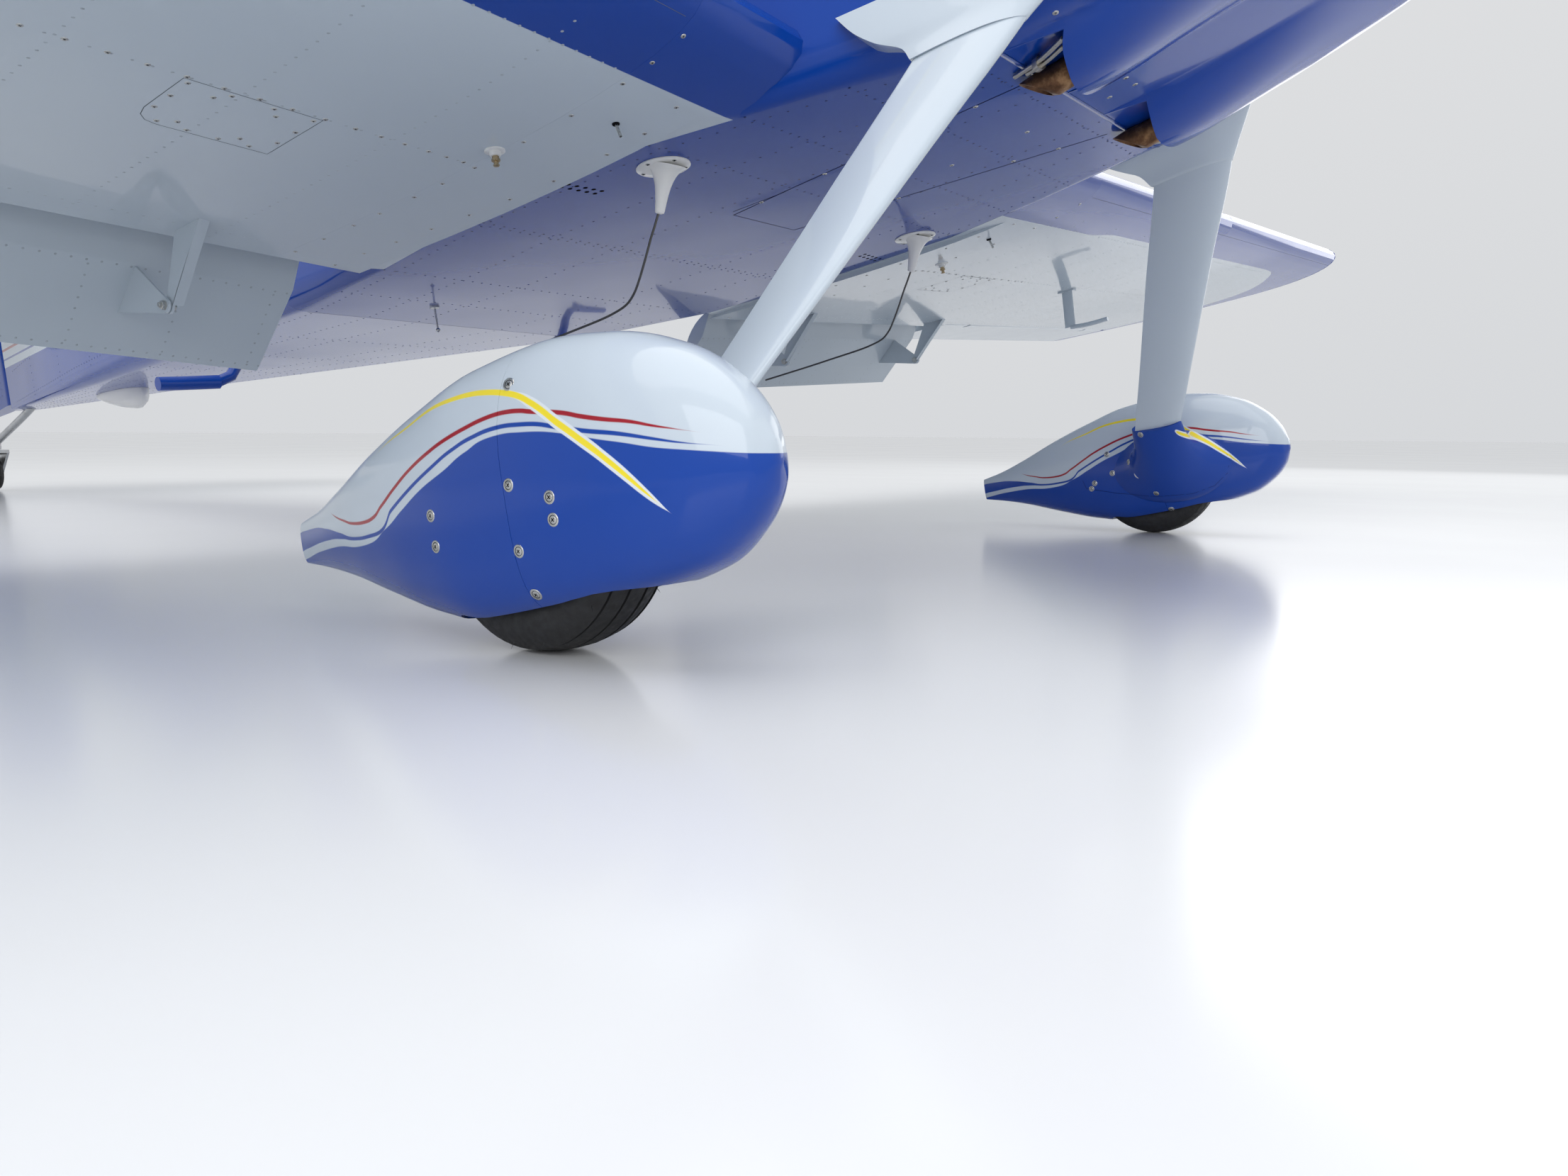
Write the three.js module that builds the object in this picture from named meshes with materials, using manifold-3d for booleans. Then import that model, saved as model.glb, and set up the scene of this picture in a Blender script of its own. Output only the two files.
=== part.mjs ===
// Homebuilt two-seat light aircraft: low wing, side-by-side seats, all-metal, on tailwheel gear.
// Millimetres. Airframe axes: X forward, Y towards the left wing tip, Z up, with the origin midway
// between the two main wheels' axles and the aircraft level. The last lines stand it nose-up on its
// three wheels, with the origin on the floor under the middle of its box.
import * as THREE from "three";
import { mergeVertices } from "three/addons/utils/BufferGeometryUtils.js";
import Module from "manifold-3d";

// Driving dimensions
const DEG = Math.PI / 180;
const PARKED_NOSE_UP = 10.91 * DEG;
const GAP = 0.3; // between pieces that touch
const RUNNING_GAP = 7; // between a moving surface and what it is hinged to

const WHEEL = { track: 2356, radius: 173, width: 126, rim: 66, bore: 16, axle: 15 };
const TAILWHEEL = { x: -4720, z: 811, radius: 76, halfWidth: 23, axle: 8, swivelX: -4642, swivelZ: 922 };
const SWIVEL_RAKE = 0.1; // how far the swivel leans forward for each unit of height

// Fuselage frames, front to back: flat half-width of the belly, half-width of the side, height of
// the belly, height of its rounded corner, height of the upper longeron, height of the deck's crown.
// Columns: x, flat, side, belly, corner, rail, crown
const BODY = [
  [345, 395, 480, 668, 85, 1120, 1345],
  [20, 510, 570, 668, 60, 1300, 1425],
  [-250, 585, 614, 668, 40, 1335, 1620],
  [-700, 600, 618, 668, 34, 1340, 1785],
  [-1060, 560, 600, 668, 40, 1340, 1765],
  [-1500, 480, 545, 692, 55, 1335, 1655],
  [-2300, 335, 410, 782, 60, 1322, 1535],
  [-3300, 165, 225, 897, 48, 1300, 1425],
  [-4330, 22, 38, 1012, 12, 1285, 1375],
];
// Cowl frames: the same columns, then how far the two outlet cheeks hang below the flat belly.
const COWL = [
  [352, 395, 480, 668, 85, 1120, 1345, 62],
  [440, 390, 482, 676, 92, 1120, 1350, 60],
  [600, 362, 480, 700, 110, 1120, 1352, 36],
  [850, 310, 458, 754, 145, 1116, 1338, 0],
  [1100, 232, 410, 836, 165, 1105, 1308, 0],
  [1270, 150, 335, 935, 150, 1092, 1255, 0],
];
const CHEEK = { inner: 90, outer: 372, exitX: 402 };
const COWL_WALL = 10;
const COWL_SPLIT = 1100;
const INLET = { y: 214, z: 1120, halfWidth: 92, halfHeight: 56 };
const THRUST_Z = 1100;
const ENGINE = {
  back: 440, front: 1060, half: 250, low: 880, high: 1215, shaft: 40,
  mountY: 205, mountLow: 915, mountHigh: 1180, mount: 16,
};
const FIREWALL = { front: 351.7, back: 345.3 };

const CABIN = { front: 345, rear: -1500, wall: 24, floor: 60 };
const CANOPY = { front: 18, skirt: -78, sill: 58, rear: -1030, bow: 44, frame: 12, glass: 5 };
const ROLL_BAR = { x: -1036, width: 30, depth: 34 };

const WING = {
  leadX: 90, leadZ: 704.3, chord: 1422, incidence: 2.74 * DEG, dihedral: 3.5 * DEG,
  thickness: 0.13, camber: 0.02, blunt: 4, rootY: 500, seamY: 800, jointY: 3862, tipY: 4115,
};
const FLAP = {
  inY: 700, outY: 2058, pivotX: -1120, pivotDrop: 128, cove: 183, lip: -1165, droop: 41.3 * DEG,
};
const AILERON = { inY: 2078, outY: 3850, x: -1060 };
const FLAP_BRACKETS = [1026, 1920];
const AILERON_BRACKETS = [2300, 3600];

const STAB = {
  z: 1335, tipY: 1525, spanY: 1668, leadRoot: -3712, leadTip: -3868, hingeX: -4222, trail: -4622,
};
const FIN = {
  x: -4362, baseZ: 1300, rootZ: 1380, tipZ: 2290, topZ: 2442, bottomZ: 1040,
  leadRoot: -3745, leadTip: -4148, trailRoot: -4808, trailTip: -4728,
};

// Main gear leg: edge lines of its streamlined fairing, from the fuselage down to the axle.
// Columns: z, then x and y of the trailing edge, then x and y of the leading edge
const LEG = [
  [760, 337, 467, 520, 444],
  [653, 298, 546, 479, 526],
  [450, 199, 693, 357, 686],
  [250, 103, 840, 237, 844],
  [100, 30, 950, 147, 963],
  [0, -12, 1022, 88, 1036],
];
// Wheel pant stations from nose to tail: lower and upper edge in side view, half-width in plan, and
// how round the lower corners are (1 is an ellipse, less is squarer).
// Columns: x, low, high, half, round
const PANT = [
  [366, 2, 28, 8, 0.88],
  [352, -34, 68, 36, 0.88],
  [320, -68, 113, 60, 0.85],
  [262, -100, 158, 84, 0.76],
  [170, -116, 193, 102, 0.6],
  [60, -126, 208, 107, 0.52],
  [-60, -130, 201, 106, 0.52],
  [-170, -110, 176, 97, 0.64],
  [-290, -73, 141, 76, 0.8],
  [-400, -34, 102, 49, 0.88],
  [-480, -11, 78, 26, 0.88],
  [-541, 3, 66, 8, 0.88],
];
const PANT_WALL = 5;
const PANT_SIDES = 18;
const PANT_SEAM_X = 42;
const PANT_SLOT = { front: 205, back: -142, halfWidth: 72 };

const PROP = { x: 1366, radius: 940, rest: 24 * DEG, hub: 62, back: 1276 };
const SPINNER = { base: 1282, tip: 1606, radius: 165, wall: 6, bladeHole: 57 };

// Solids
const wasm = await Module();
wasm.setup();

function toSolid(geometry) {
  const source = geometry.index ? geometry.toNonIndexed() : geometry;
  const bare = new THREE.BufferGeometry();
  bare.setAttribute("position", source.getAttribute("position"));
  const merged = mergeVertices(bare, 1e-3);
  const triVerts = Uint32Array.from(merged.index.array);
  const vertProperties = merged.attributes.position.array;
  return new wasm.Manifold(new wasm.Mesh({ numProp: 3, vertProperties, triVerts }));
}

function toGeometry(solid) {
  const mesh = solid.getMesh();
  const geometry = new THREE.BufferGeometry();
  const position = new Float32Array(mesh.numVert * 3);
  for (let i = 0; i < mesh.numVert; i++)
    for (let k = 0; k < 3; k++) position[3 * i + k] = mesh.vertProperties[mesh.numProp * i + k];
  geometry.setAttribute("position", new THREE.BufferAttribute(position, 3));
  geometry.setIndex(new THREE.BufferAttribute(mesh.triVerts, 1));
  const faceted = geometry.toNonIndexed();
  faceted.computeVertexNormals();
  return faceted;
}

// Triangles that close one ring, in the ring's own order.
function cap(ring) {
  const normal = new THREE.Vector3();
  ring.forEach((a, i) => {
    const b = ring[(i + 1) % ring.length];
    normal.x += (a.y - b.y) * (a.z + b.z);
    normal.y += (a.z - b.z) * (a.x + b.x);
    normal.z += (a.x - b.x) * (a.y + b.y);
  });
  const size = [Math.abs(normal.x), Math.abs(normal.y), Math.abs(normal.z)];
  const widest = size.indexOf(Math.max(...size));
  const [u, v] = [["y", "z"], ["z", "x"], ["x", "y"]][widest];
  const flat = ring.map((p) => new THREE.Vector2(p[u], p[v]));
  const turn = Math.sign(THREE.ShapeUtils.area(flat));
  return THREE.ShapeUtils.triangulateShape(flat, []).map(([a, b, c]) => {
    const own = Math.sign(THREE.ShapeUtils.area([flat[a], flat[b], flat[c]]));
    return own === turn ? [ring[a], ring[b], ring[c]] : [ring[a], ring[c], ring[b]];
  });
}

// A closed solid through rings that hold equally many points.
function loft(rings) {
  const triangles = [];
  for (let i = 0; i + 1 < rings.length; i++) {
    const count = rings[i].length;
    for (let j = 0; j < count; j++) {
      const k = (j + 1) % count;
      const [a, b, c, d] = [rings[i][j], rings[i][k], rings[i + 1][k], rings[i + 1][j]];
      if (a.distanceTo(c) <= b.distanceTo(d)) triangles.push([a, b, c], [a, c, d]);
      else triangles.push([a, b, d], [b, c, d]);
    }
  }
  cap(rings[0]).forEach(([a, b, c]) => triangles.push([a, c, b]));
  cap(rings[rings.length - 1]).forEach((triangle) => triangles.push(triangle));
  const volume = triangles.reduce((sum, [a, b, c]) => sum + a.dot(b.clone().cross(c)), 0);
  const facing = volume < 0 ? triangles.map(([a, b, c]) => [a, c, b]) : triangles;
  return toSolid(new THREE.BufferGeometry().setFromPoints(facing.flat()));
}

const point = (x, y, z) => new THREE.Vector3(x, y, z);

function box(x0, x1, y0, y1, z0, z1) {
  const made = new THREE.BoxGeometry(x1 - x0, y1 - y0, z1 - z0);
  return toSolid(made.translate((x0 + x1) / 2, (y0 + y1) / 2, (z0 + z1) / 2));
}

// A round bar from one point to another.
function bar(from, to, radius, sides = 14) {
  const along = to.clone().sub(from);
  const made = new THREE.CylinderGeometry(radius, radius, along.length(), sides);
  const turn = new THREE.Quaternion().setFromUnitVectors(point(0, 1, 0), along.clone().normalize());
  made.applyQuaternion(turn);
  return toSolid(made.translate(...from.clone().add(to).multiplyScalar(0.5).toArray()));
}

function tube(points, radius, sides, steps) {
  const corners = Array.from({ length: sides }, (_, i) => {
    const a = (2 * Math.PI * i) / sides;
    return new THREE.Vector2(radius * Math.cos(a), radius * Math.sin(a));
  });
  const extrudePath = new THREE.CatmullRomCurve3(points, false, "centripetal");
  return toSolid(new THREE.ExtrudeGeometry(new THREE.Shape(corners), { extrudePath, steps }));
}

// A profile of [radius, height] pairs turned about the Z axis.
function turned(profile, sides) {
  const line = profile.map(([r, z]) => new THREE.Vector2(r, z));
  return toSolid(new THREE.LatheGeometry(line, sides).rotateX(90 * DEG));
}

// A side-view outline of [x, z] pairs made into a plate between two stations along Y.
function plate(outline, y0, y1) {
  return loft([y0, y1].map((y) => outline.map(([x, z]) => point(x, y, z))));
}

function moved(geometryOf, change) {
  return toSolid(change(toGeometry(geometryOf)));
}

// Reads a table at any x, blending between its rows.
function rowAt(table, x) {
  const rising = [...table].sort((a, b) => a[0] - b[0]);
  const above = rising.findIndex((row) => row[0] >= x);
  const next = above < 0 ? rising.length - 1 : Math.max(above, 1);
  const [a, b] = [rising[next - 1], rising[next]];
  const t = (x - a[0]) / (b[0] - a[0]);
  return a.map((value, i) => value + t * (b[i] - value));
}

// Fuselage and cowl rings
function belly(flat, cheek, y) {
  const across = (y - CHEEK.inner) / (CHEEK.outer - CHEEK.inner);
  const inside = across > 0 && across < 1 && y <= flat;
  return inside ? cheek * Math.pow(Math.sin(Math.PI * across), 0.7) : 0;
}

// Half a frame's outline, from the middle of the belly to the middle of the deck.
function halfFrame([x, flat, side, low, corner, rail, crown, cheek = 0], grow, bellySteps) {
  const outline = [];
  for (let i = 0; i <= bellySteps; i++) {
    const y = (flat * i) / bellySteps;
    outline.push([y, low - grow - belly(flat, cheek, y)]);
  }
  for (let i = 1; i <= 4; i++) {
    const a = (90 * DEG * i) / 4;
    const out = flat + (side + grow - flat) * Math.sin(a);
    outline.push([out, low + corner - (corner + grow) * Math.cos(a)]);
  }
  outline.push([side + grow, rail]);
  for (let i = 1; i <= 8; i++) {
    const a = (90 * DEG * i) / 8;
    const up = (crown + grow - rail) * Math.pow(Math.sin(a), 0.95);
    outline.push([(side + grow) * Math.pow(Math.cos(a), 0.9), rail + up]);
  }
  outline[outline.length - 1][0] = 0;
  return outline.map(([y, z]) => point(x, y, z));
}

function frameRing(row, grow = 0, bellySteps = 1) {
  const left = halfFrame(row, grow, bellySteps);
  const right = left.slice(1, -1).reverse().map((p) => point(p.x, -p.y, p.z));
  return [...left, ...right];
}

function bodyLoft(table, from, to, grow = 0, bellySteps = 1) {
  const inside = table.map((row) => row[0]).filter((x) => x < from && x > to);
  const stations = [from, ...inside.sort((a, b) => b - a), to];
  return loft(stations.map((x) => frameRing(rowAt(table, x), grow, bellySteps)));
}

const BELLY_STEPS = 10;
const fuselageGrown = bodyLoft(BODY, 352, -4330, GAP);
const cowlGrown = bodyLoft(COWL, 1270, 352, GAP, BELLY_STEPS);

// Foil outlines
function foilHalf(f, thickness) {
  const root = 0.2969 * Math.sqrt(f);
  return 5 * thickness * (root - 0.126 * f - 0.3516 * f ** 2 + 0.2843 * f ** 3 - 0.1036 * f ** 4);
}

function camberLine(f, camber) {
  const peak = 0.4;
  if (f < peak) return (camber / peak ** 2) * (2 * peak * f - f * f);
  return (camber / (1 - peak) ** 2) * (1 - 2 * peak + 2 * peak * f - f * f);
}

// Height of the wing's skin over the airframe's centre line at x, on its upper (1) or lower (-1) side.
function wingSkin(x, side) {
  const f = Math.min(Math.max((WING.leadX - x) / WING.chord, 0), 1);
  const middle = WING.leadZ - (WING.leadX - x) * Math.tan(WING.incidence);
  const half = foilHalf(f, WING.thickness) * WING.chord + (WING.blunt / 2) * f;
  return middle + camberLine(f, WING.camber) * WING.chord + side * half;
}

const wingTrailX = WING.leadX - WING.chord;

// Points of a skin between two x values, crowded towards the leading edge.
function skinRun(skin, from, to, side, steps, leadX) {
  return Array.from({ length: steps + 1 }, (_, i) => {
    const [a, b] = [from, to].map((x) => Math.sqrt(Math.max(leadX - x, 0)));
    const x = leadX - (a + ((b - a) * i) / steps) ** 2;
    return [x, skin(x, side)];
  });
}

// Points on an arc about a pivot, from one x to another, above (1) or through its front.
function arcPoints(pivot, radius, fromAngle, toAngle, steps) {
  return Array.from({ length: steps + 1 }, (_, i) => {
    const a = fromAngle + ((toAngle - fromAngle) * i) / steps;
    return [pivot[0] + radius * Math.cos(a), pivot[1] + radius * Math.sin(a)];
  });
}

const rise = (y) => y * Math.tan(WING.dihedral);
const atY = (outline, y) => outline.map(([x, z]) => point(x, y, z + rise(y)));
const span = (outline, y0, y1) => loft([atY(outline, y0), atY(outline, y1)]);

// Wing ahead of the flap: it ends in a cove that curves about the flap's hinge below it.
const flapPivot = [FLAP.pivotX, wingSkin(FLAP.pivotX, -1) - FLAP.pivotDrop];
const flapNoseRadius = FLAP.cove - RUNNING_GAP;
const NOSE = { coveFront: 108, flapFront: 92, skinEnd: -1086, flapLow: -1110 };
const SKIN_STEPS = 13;
const angleAt = (dx, radius) => Math.acos(dx / radius);
const flapBay = [
  ...skinRun(wingSkin, NOSE.skinEnd, WING.leadX, -1, SKIN_STEPS, WING.leadX),
  ...skinRun(wingSkin, WING.leadX, FLAP.lip, 1, SKIN_STEPS, WING.leadX).slice(1),
  ...arcPoints(
    flapPivot, FLAP.cove,
    angleAt(FLAP.lip - FLAP.pivotX, FLAP.cove), angleAt(NOSE.coveFront, FLAP.cove), 6,
  ),
];
const flapLipX = FLAP.lip - RUNNING_GAP;
const flapOutline = [
  ...arcPoints(
    flapPivot, flapNoseRadius, angleAt(flapLipX - FLAP.pivotX, flapNoseRadius),
    angleAt(NOSE.flapFront, flapNoseRadius), 6,
  ),
  ...[0, 1, 2, 3].map((i) => {
    const x = NOSE.flapLow + ((wingTrailX - NOSE.flapLow) * i) / 3;
    return [x, wingSkin(x, -1)];
  }),
  ...[0, 1, 2, 3].map((i) => {
    const x = wingTrailX + ((flapLipX - wingTrailX) * i) / 3;
    return [x, wingSkin(x, 1)];
  }),
];

// A moving surface's outline behind its hinge, and the cove ahead of it, for any skin.
function hinged(skin, leadX, trailX, hingeX, frontSteps) {
  const [high, low] = [skin(hingeX, 1), skin(hingeX, -1)];
  const pivot = [hingeX, (high + low) / 2];
  const nose = (high - low) / 2;
  const reach = nose + RUNNING_GAP;
  const lipX = hingeX + Math.sqrt(reach ** 2 - nose ** 2);
  const lipAngle = angleAt(lipX - hingeX, reach);
  const aft = (i, side) => {
    const x = hingeX + ((trailX - hingeX) * i) / 3;
    return [x, skin(x, side)];
  };
  return {
    pivot,
    fixed: [
      ...skinRun(skin, lipX, leadX, -1, frontSteps, leadX),
      ...skinRun(skin, leadX, lipX, 1, frontSteps, leadX).slice(1),
      ...arcPoints(pivot, reach, lipAngle, -lipAngle, 6).slice(1, -1),
    ],
    moving: [
      ...arcPoints(pivot, nose, 90 * DEG, -90 * DEG, 8),
      ...[1, 2, 3].map((i) => aft(i, -1)),
      ...[3, 2, 1].map((i) => aft(i, 1)),
    ],
  };
}
const aileronCut = hinged(wingSkin, WING.leadX, wingTrailX, AILERON.x, SKIN_STEPS);
const wholeFoil = [
  ...skinRun(wingSkin, wingTrailX, WING.leadX, -1, SKIN_STEPS, WING.leadX),
  ...skinRun(wingSkin, WING.leadX, wingTrailX, 1, SKIN_STEPS, WING.leadX).slice(1),
];

// Flap hinge: a plate under the wing and one under the flap, side by side on one pin.
const BRACKET = { thick: 5, apart: 3, eye: 15, pin: 6, pinEnd: 3, hole: 6.8 };
function eyePlate(front, back, pivot, skin, y0, y1) {
  const eye = arcPoints(pivot, BRACKET.eye, 200 * DEG, 340 * DEG, 6);
  const top = [[front, skin(front, -1) + 3], [back, skin(back, -1) + 3]];
  return span([...eye, ...top], y0, y1);
}
const pinAlong = (pivot, y0, y1, radius) =>
  bar(point(pivot[0], y0, pivot[1] + rise(y0)), point(pivot[0], y1, pivot[1] + rise(y1)), radius, 8);

// Hinge pins of the ailerons and tail surfaces, and the slot that each arm turns in.
const PIN = { radius: 3, hole: 3.6, reach: 9, slot: 8 };
const ARM_HALF = 3; // half an arm's thickness, and how far its bore is cut each way
const ARM_BORE = 4;

function makeWing() {
  let solid = span(flapBay, WING.seamY + GAP, (FLAP.outY + AILERON.inY) / 2)
    .add(span(aileronCut.fixed, (FLAP.outY + AILERON.inY) / 2 - 1, AILERON.outY + 4))
    .add(span(wholeFoil, AILERON.outY + 3.5, WING.jointY));
  const { apart, thick, pin, pinEnd } = BRACKET;
  for (const y of FLAP_BRACKETS) {
    const wingPlate = eyePlate(-965, -1055, flapPivot, wingSkin, y - apart - thick, y - apart);
    const bolt = pinAlong(flapPivot, y - apart - pinEnd, y + thick + pinEnd, pin);
    solid = solid.add(wingPlate).add(bolt);
  }
  for (const y of AILERON_BRACKETS) {
    const low = aileronCut.pivot[1];
    const arm = [
      [-985, low - 42], [-985, low - 14], [-1060, low + 9],
      [-1069, low], [-1060, low - 9], [-1050, low - 20],
    ];
    const bore = pinAlong(aileronCut.pivot, y - ARM_BORE, y + ARM_BORE, PIN.hole);
    solid = solid.add(span(arm, y - ARM_HALF, y + ARM_HALF)).subtract(bore);
  }
  return solid;
}

function makeAileron() {
  let solid = span(aileronCut.moving, AILERON.inY, AILERON.outY);
  const [px, pz] = aileronCut.pivot;
  for (const y of AILERON_BRACKETS) {
    const slot = [[px + 60, pz - 60], [px + 60, pz + 30], [px - 22, pz + 24], [px - 22, pz - 60]];
    solid = solid.subtract(span(slot, y - PIN.slot, y + PIN.slot))
      .add(pinAlong(aileronCut.pivot, y - PIN.reach, y + PIN.reach, PIN.radius));
  }
  return solid;
}

function makeFlap() {
  let solid = span(flapOutline, FLAP.inY, FLAP.outY);
  for (const y of FLAP_BRACKETS) {
    const cheek = eyePlate(-1118, -1232, flapPivot, wingSkin, y, y + BRACKET.thick);
    solid = solid.add(cheek).subtract(pinAlong(flapPivot, y - 1, y + BRACKET.thick + 1, BRACKET.hole));
  }
  return solid;
}

// Rounded wing tip: the foil's outline, drawn in towards the tip's outer edge.
// Columns: y, shift of the leading edge, shift of the trailing edge, share of the thickness, lift
const TIP = [
  [WING.jointY + GAP, 0, 0, 1, 0],
  [3940, -26, 4, 0.93, 2],
  [4010, -82, 14, 0.76, 6],
  [4062, -152, 34, 0.55, 12],
  [4096, -240, 70, 0.32, 16],
  [WING.tipY, -370, 130, 0.1, 18],
];
function makeTip() {
  return loft(TIP.map(([y, frontX, backX, thin, lift]) => {
    const middle = (x) => (wingSkin(x, 1) + wingSkin(x, -1)) / 2;
    const [front, back] = [WING.leadX + frontX, wingTrailX + backX];
    const squeeze = (front - back) / WING.chord;
    return wholeFoil.map(([x, z]) => {
      const placed = front - (WING.leadX - x) * squeeze;
      return point(placed, y, middle(placed) + (z - middle(x)) * thin + lift + rise(y));
    });
  }));
}

// Tail surfaces: a symmetric foil whose leading edge, hinge and trailing edge all taper.
function tailSection(lead, trail, hingeX, thickness) {
  const chord = lead - trail;
  const skin = (x, side) => {
    const f = Math.min(Math.max((lead - x) / chord, 0), 1);
    return side * (foilHalf(f, thickness) * chord + 1.5 * f);
  };
  return hinged(skin, lead, trail, hingeX, 7);
}
const stabSection = (y) => {
  const t = y / STAB.spanY;
  const lead = STAB.leadRoot + (STAB.leadTip - STAB.leadRoot) * t;
  return tailSection(lead, STAB.trail, STAB.hingeX, 0.085 - 0.005 * t);
};
const finSection = (z) => {
  const t = (z - FIN.baseZ) / (FIN.topZ - FIN.baseZ);
  const lead = FIN.leadRoot + (FIN.leadTip - FIN.leadRoot) * t;
  const trail = FIN.trailRoot + (FIN.trailTip - FIN.trailRoot) * t;
  return tailSection(lead, trail, FIN.x, 0.082);
};
const flatAt = (outline, y) => outline.map(([x, z]) => point(x, y, z + STAB.z));
const uprightAt = (outline, z) => outline.map(([x, y]) => point(x, y, z));
const mirrorOutline = (rings) => rings.map((ring) => ring.map((p) => point(p.x, -p.y, p.z)));

const HINGE_ARM = { root: 72, half: 10, eye: 8 };
const ARM_ROOM = 24; // cut behind the hinge for the arm's end
const stabArm = [
  [STAB.hingeX + HINGE_ARM.root, STAB.z - HINGE_ARM.half],
  [STAB.hingeX + HINGE_ARM.root, STAB.z + HINGE_ARM.half],
  [STAB.hingeX, STAB.z + HINGE_ARM.eye],
  [STAB.hingeX - HINGE_ARM.eye, STAB.z],
  [STAB.hingeX, STAB.z - HINGE_ARM.eye],
];
const STAB_ARMS = [420, 1180];
const FIN_ARMS = [1420, 2130];
const pinAcross = (y, reach, radius) =>
  bar(point(STAB.hingeX, y - reach, STAB.z), point(STAB.hingeX, y + reach, STAB.z), radius, 8);
const pinUpright = (z, reach, radius) =>
  bar(point(FIN.x, 0, z - reach), point(FIN.x, 0, z + reach), radius, 8);

function makeStabilizer() {
  const rings = [0, STAB.tipY].map((y) => flatAt(stabSection(y).fixed, y));
  let solid = loft(rings).add(loft(mirrorOutline(rings)));
  for (const y of STAB_ARMS.flatMap((arm) => [-arm, arm]))
    solid = solid.add(plate(stabArm, y - ARM_HALF, y + ARM_HALF)).subtract(pinAcross(y, ARM_BORE, PIN.hole));
  return solid;
}

// Elevators: cut back at the root for the rudder's swing, with a balance horn ahead of the hinge.
const ELEVATOR = { inFront: 96, inBack: 236, tube: 13, hornY: 1537 };
function makeElevators() {
  const inner = stabSection(ELEVATOR.inFront).moving.map(([x, z]) => {
    const back = Math.max(0, STAB.hingeX - 40 - x) / (STAB.hingeX - 40 - STAB.trail);
    return point(x, ELEVATOR.inFront + (ELEVATOR.inBack - ELEVATOR.inFront) * back, z + STAB.z);
  });
  const outer = flatAt(stabSection(STAB.spanY).moving, STAB.spanY);
  const hornEdge = [[-4000, 9], [-4090, 17], [-4240, 17]];
  const horn = plate([
    ...hornEdge.map(([x, half]) => [x, STAB.z + half]),
    ...[...hornEdge].reverse().map(([x, half]) => [x, STAB.z - half]),
  ], ELEVATOR.hornY, STAB.spanY);
  let half = loft([inner, outer]).add(horn);
  const { hingeX: x, z } = STAB;
  const { slot, reach, radius } = PIN;
  for (const y of STAB_ARMS)
    half = half.subtract(box(x - ARM_ROOM, x + HINGE_ARM.root, y - slot, y + slot, z - 60, z + 60))
      .add(pinAcross(y, reach, radius));
  const other = moved(half, (g) => flipped(g));
  const torque = bar(point(STAB.hingeX, -110, STAB.z), point(STAB.hingeX, 110, STAB.z), ELEVATOR.tube);
  return half.add(other).add(torque);
}

// The same shape on the other side of the centre line.
function flipped(geometry) {
  const position = geometry.getAttribute("position");
  const turnedRound = new Float32Array(position.count * 3);
  for (let i = 0; i < position.count; i += 3)
    [0, 2, 1].forEach((from, to) => {
      const k = i + from;
      turnedRound.set([position.getX(k), -position.getY(k), position.getZ(k)], 3 * (i + to));
    });
  return new THREE.BufferGeometry().setAttribute("position", new THREE.BufferAttribute(turnedRound, 3));
}

function makeFin() {
  const rings = [FIN.rootZ, FIN.tipZ].map((z) => uprightAt(finSection(z).fixed, z));
  let solid = loft(rings).subtract(fuselageGrown);
  const { root, half, eye } = HINGE_ARM;
  const x = FIN.x;
  const arm = [[x + root, -half], [x + root, half], [x, eye], [x - eye, 0], [x, -eye]];
  for (const z of FIN_ARMS) {
    const web = loft([z - ARM_HALF, z + ARM_HALF].map((h) => uprightAt(arm, h)));
    solid = solid.add(web).subtract(pinUpright(z, ARM_BORE, PIN.hole));
  }
  return solid;
}

function makeRudder() {
  const rings = [FIN.bottomZ, FIN.topZ].map((z) => uprightAt(finSection(z).moving, z));
  const horn = loft([FIN.tipZ + 12, FIN.topZ].map((z, i) => uprightAt([
    [-4146 - 40 * i, -7], [-4146 - 40 * i, 7], [-4230, 17], [-4380, 20], [-4380, -20], [-4230, -17],
  ], z)));
  const [back, front] = [FIN.x - ARM_ROOM, FIN.x + HINGE_ARM.root];
  let solid = loft(rings).add(horn);
  for (const z of FIN_ARMS)
    solid = solid.subtract(box(back, front, -60, 60, z - PIN.slot, z + PIN.slot))
      .add(pinUpright(z, PIN.reach, PIN.radius));
  return solid;
}

// Tail cone, with the slot that the stabilizer passes through and room for the elevators' tube.
function makeTailCone() {
  const around = tailSection(STAB.leadRoot + 3, STAB.trail, STAB.hingeX, 0.0865).fixed;
  const stabRings = [0, 400].map((y) => flatAt(around, y));
  const slot = loft(stabRings).add(loft(mirrorOutline(stabRings)));
  const widened = slot.add(box(-4262, -4170, -300, 300, STAB.z - 38, STAB.z + 38));
  const finRoot = box(-4400, -4318, -60, 60, 1000, 1400);
  return bodyLoft(BODY, CABIN.rear - GAP, -4330).subtract(widened).subtract(finRoot);
}

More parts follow.
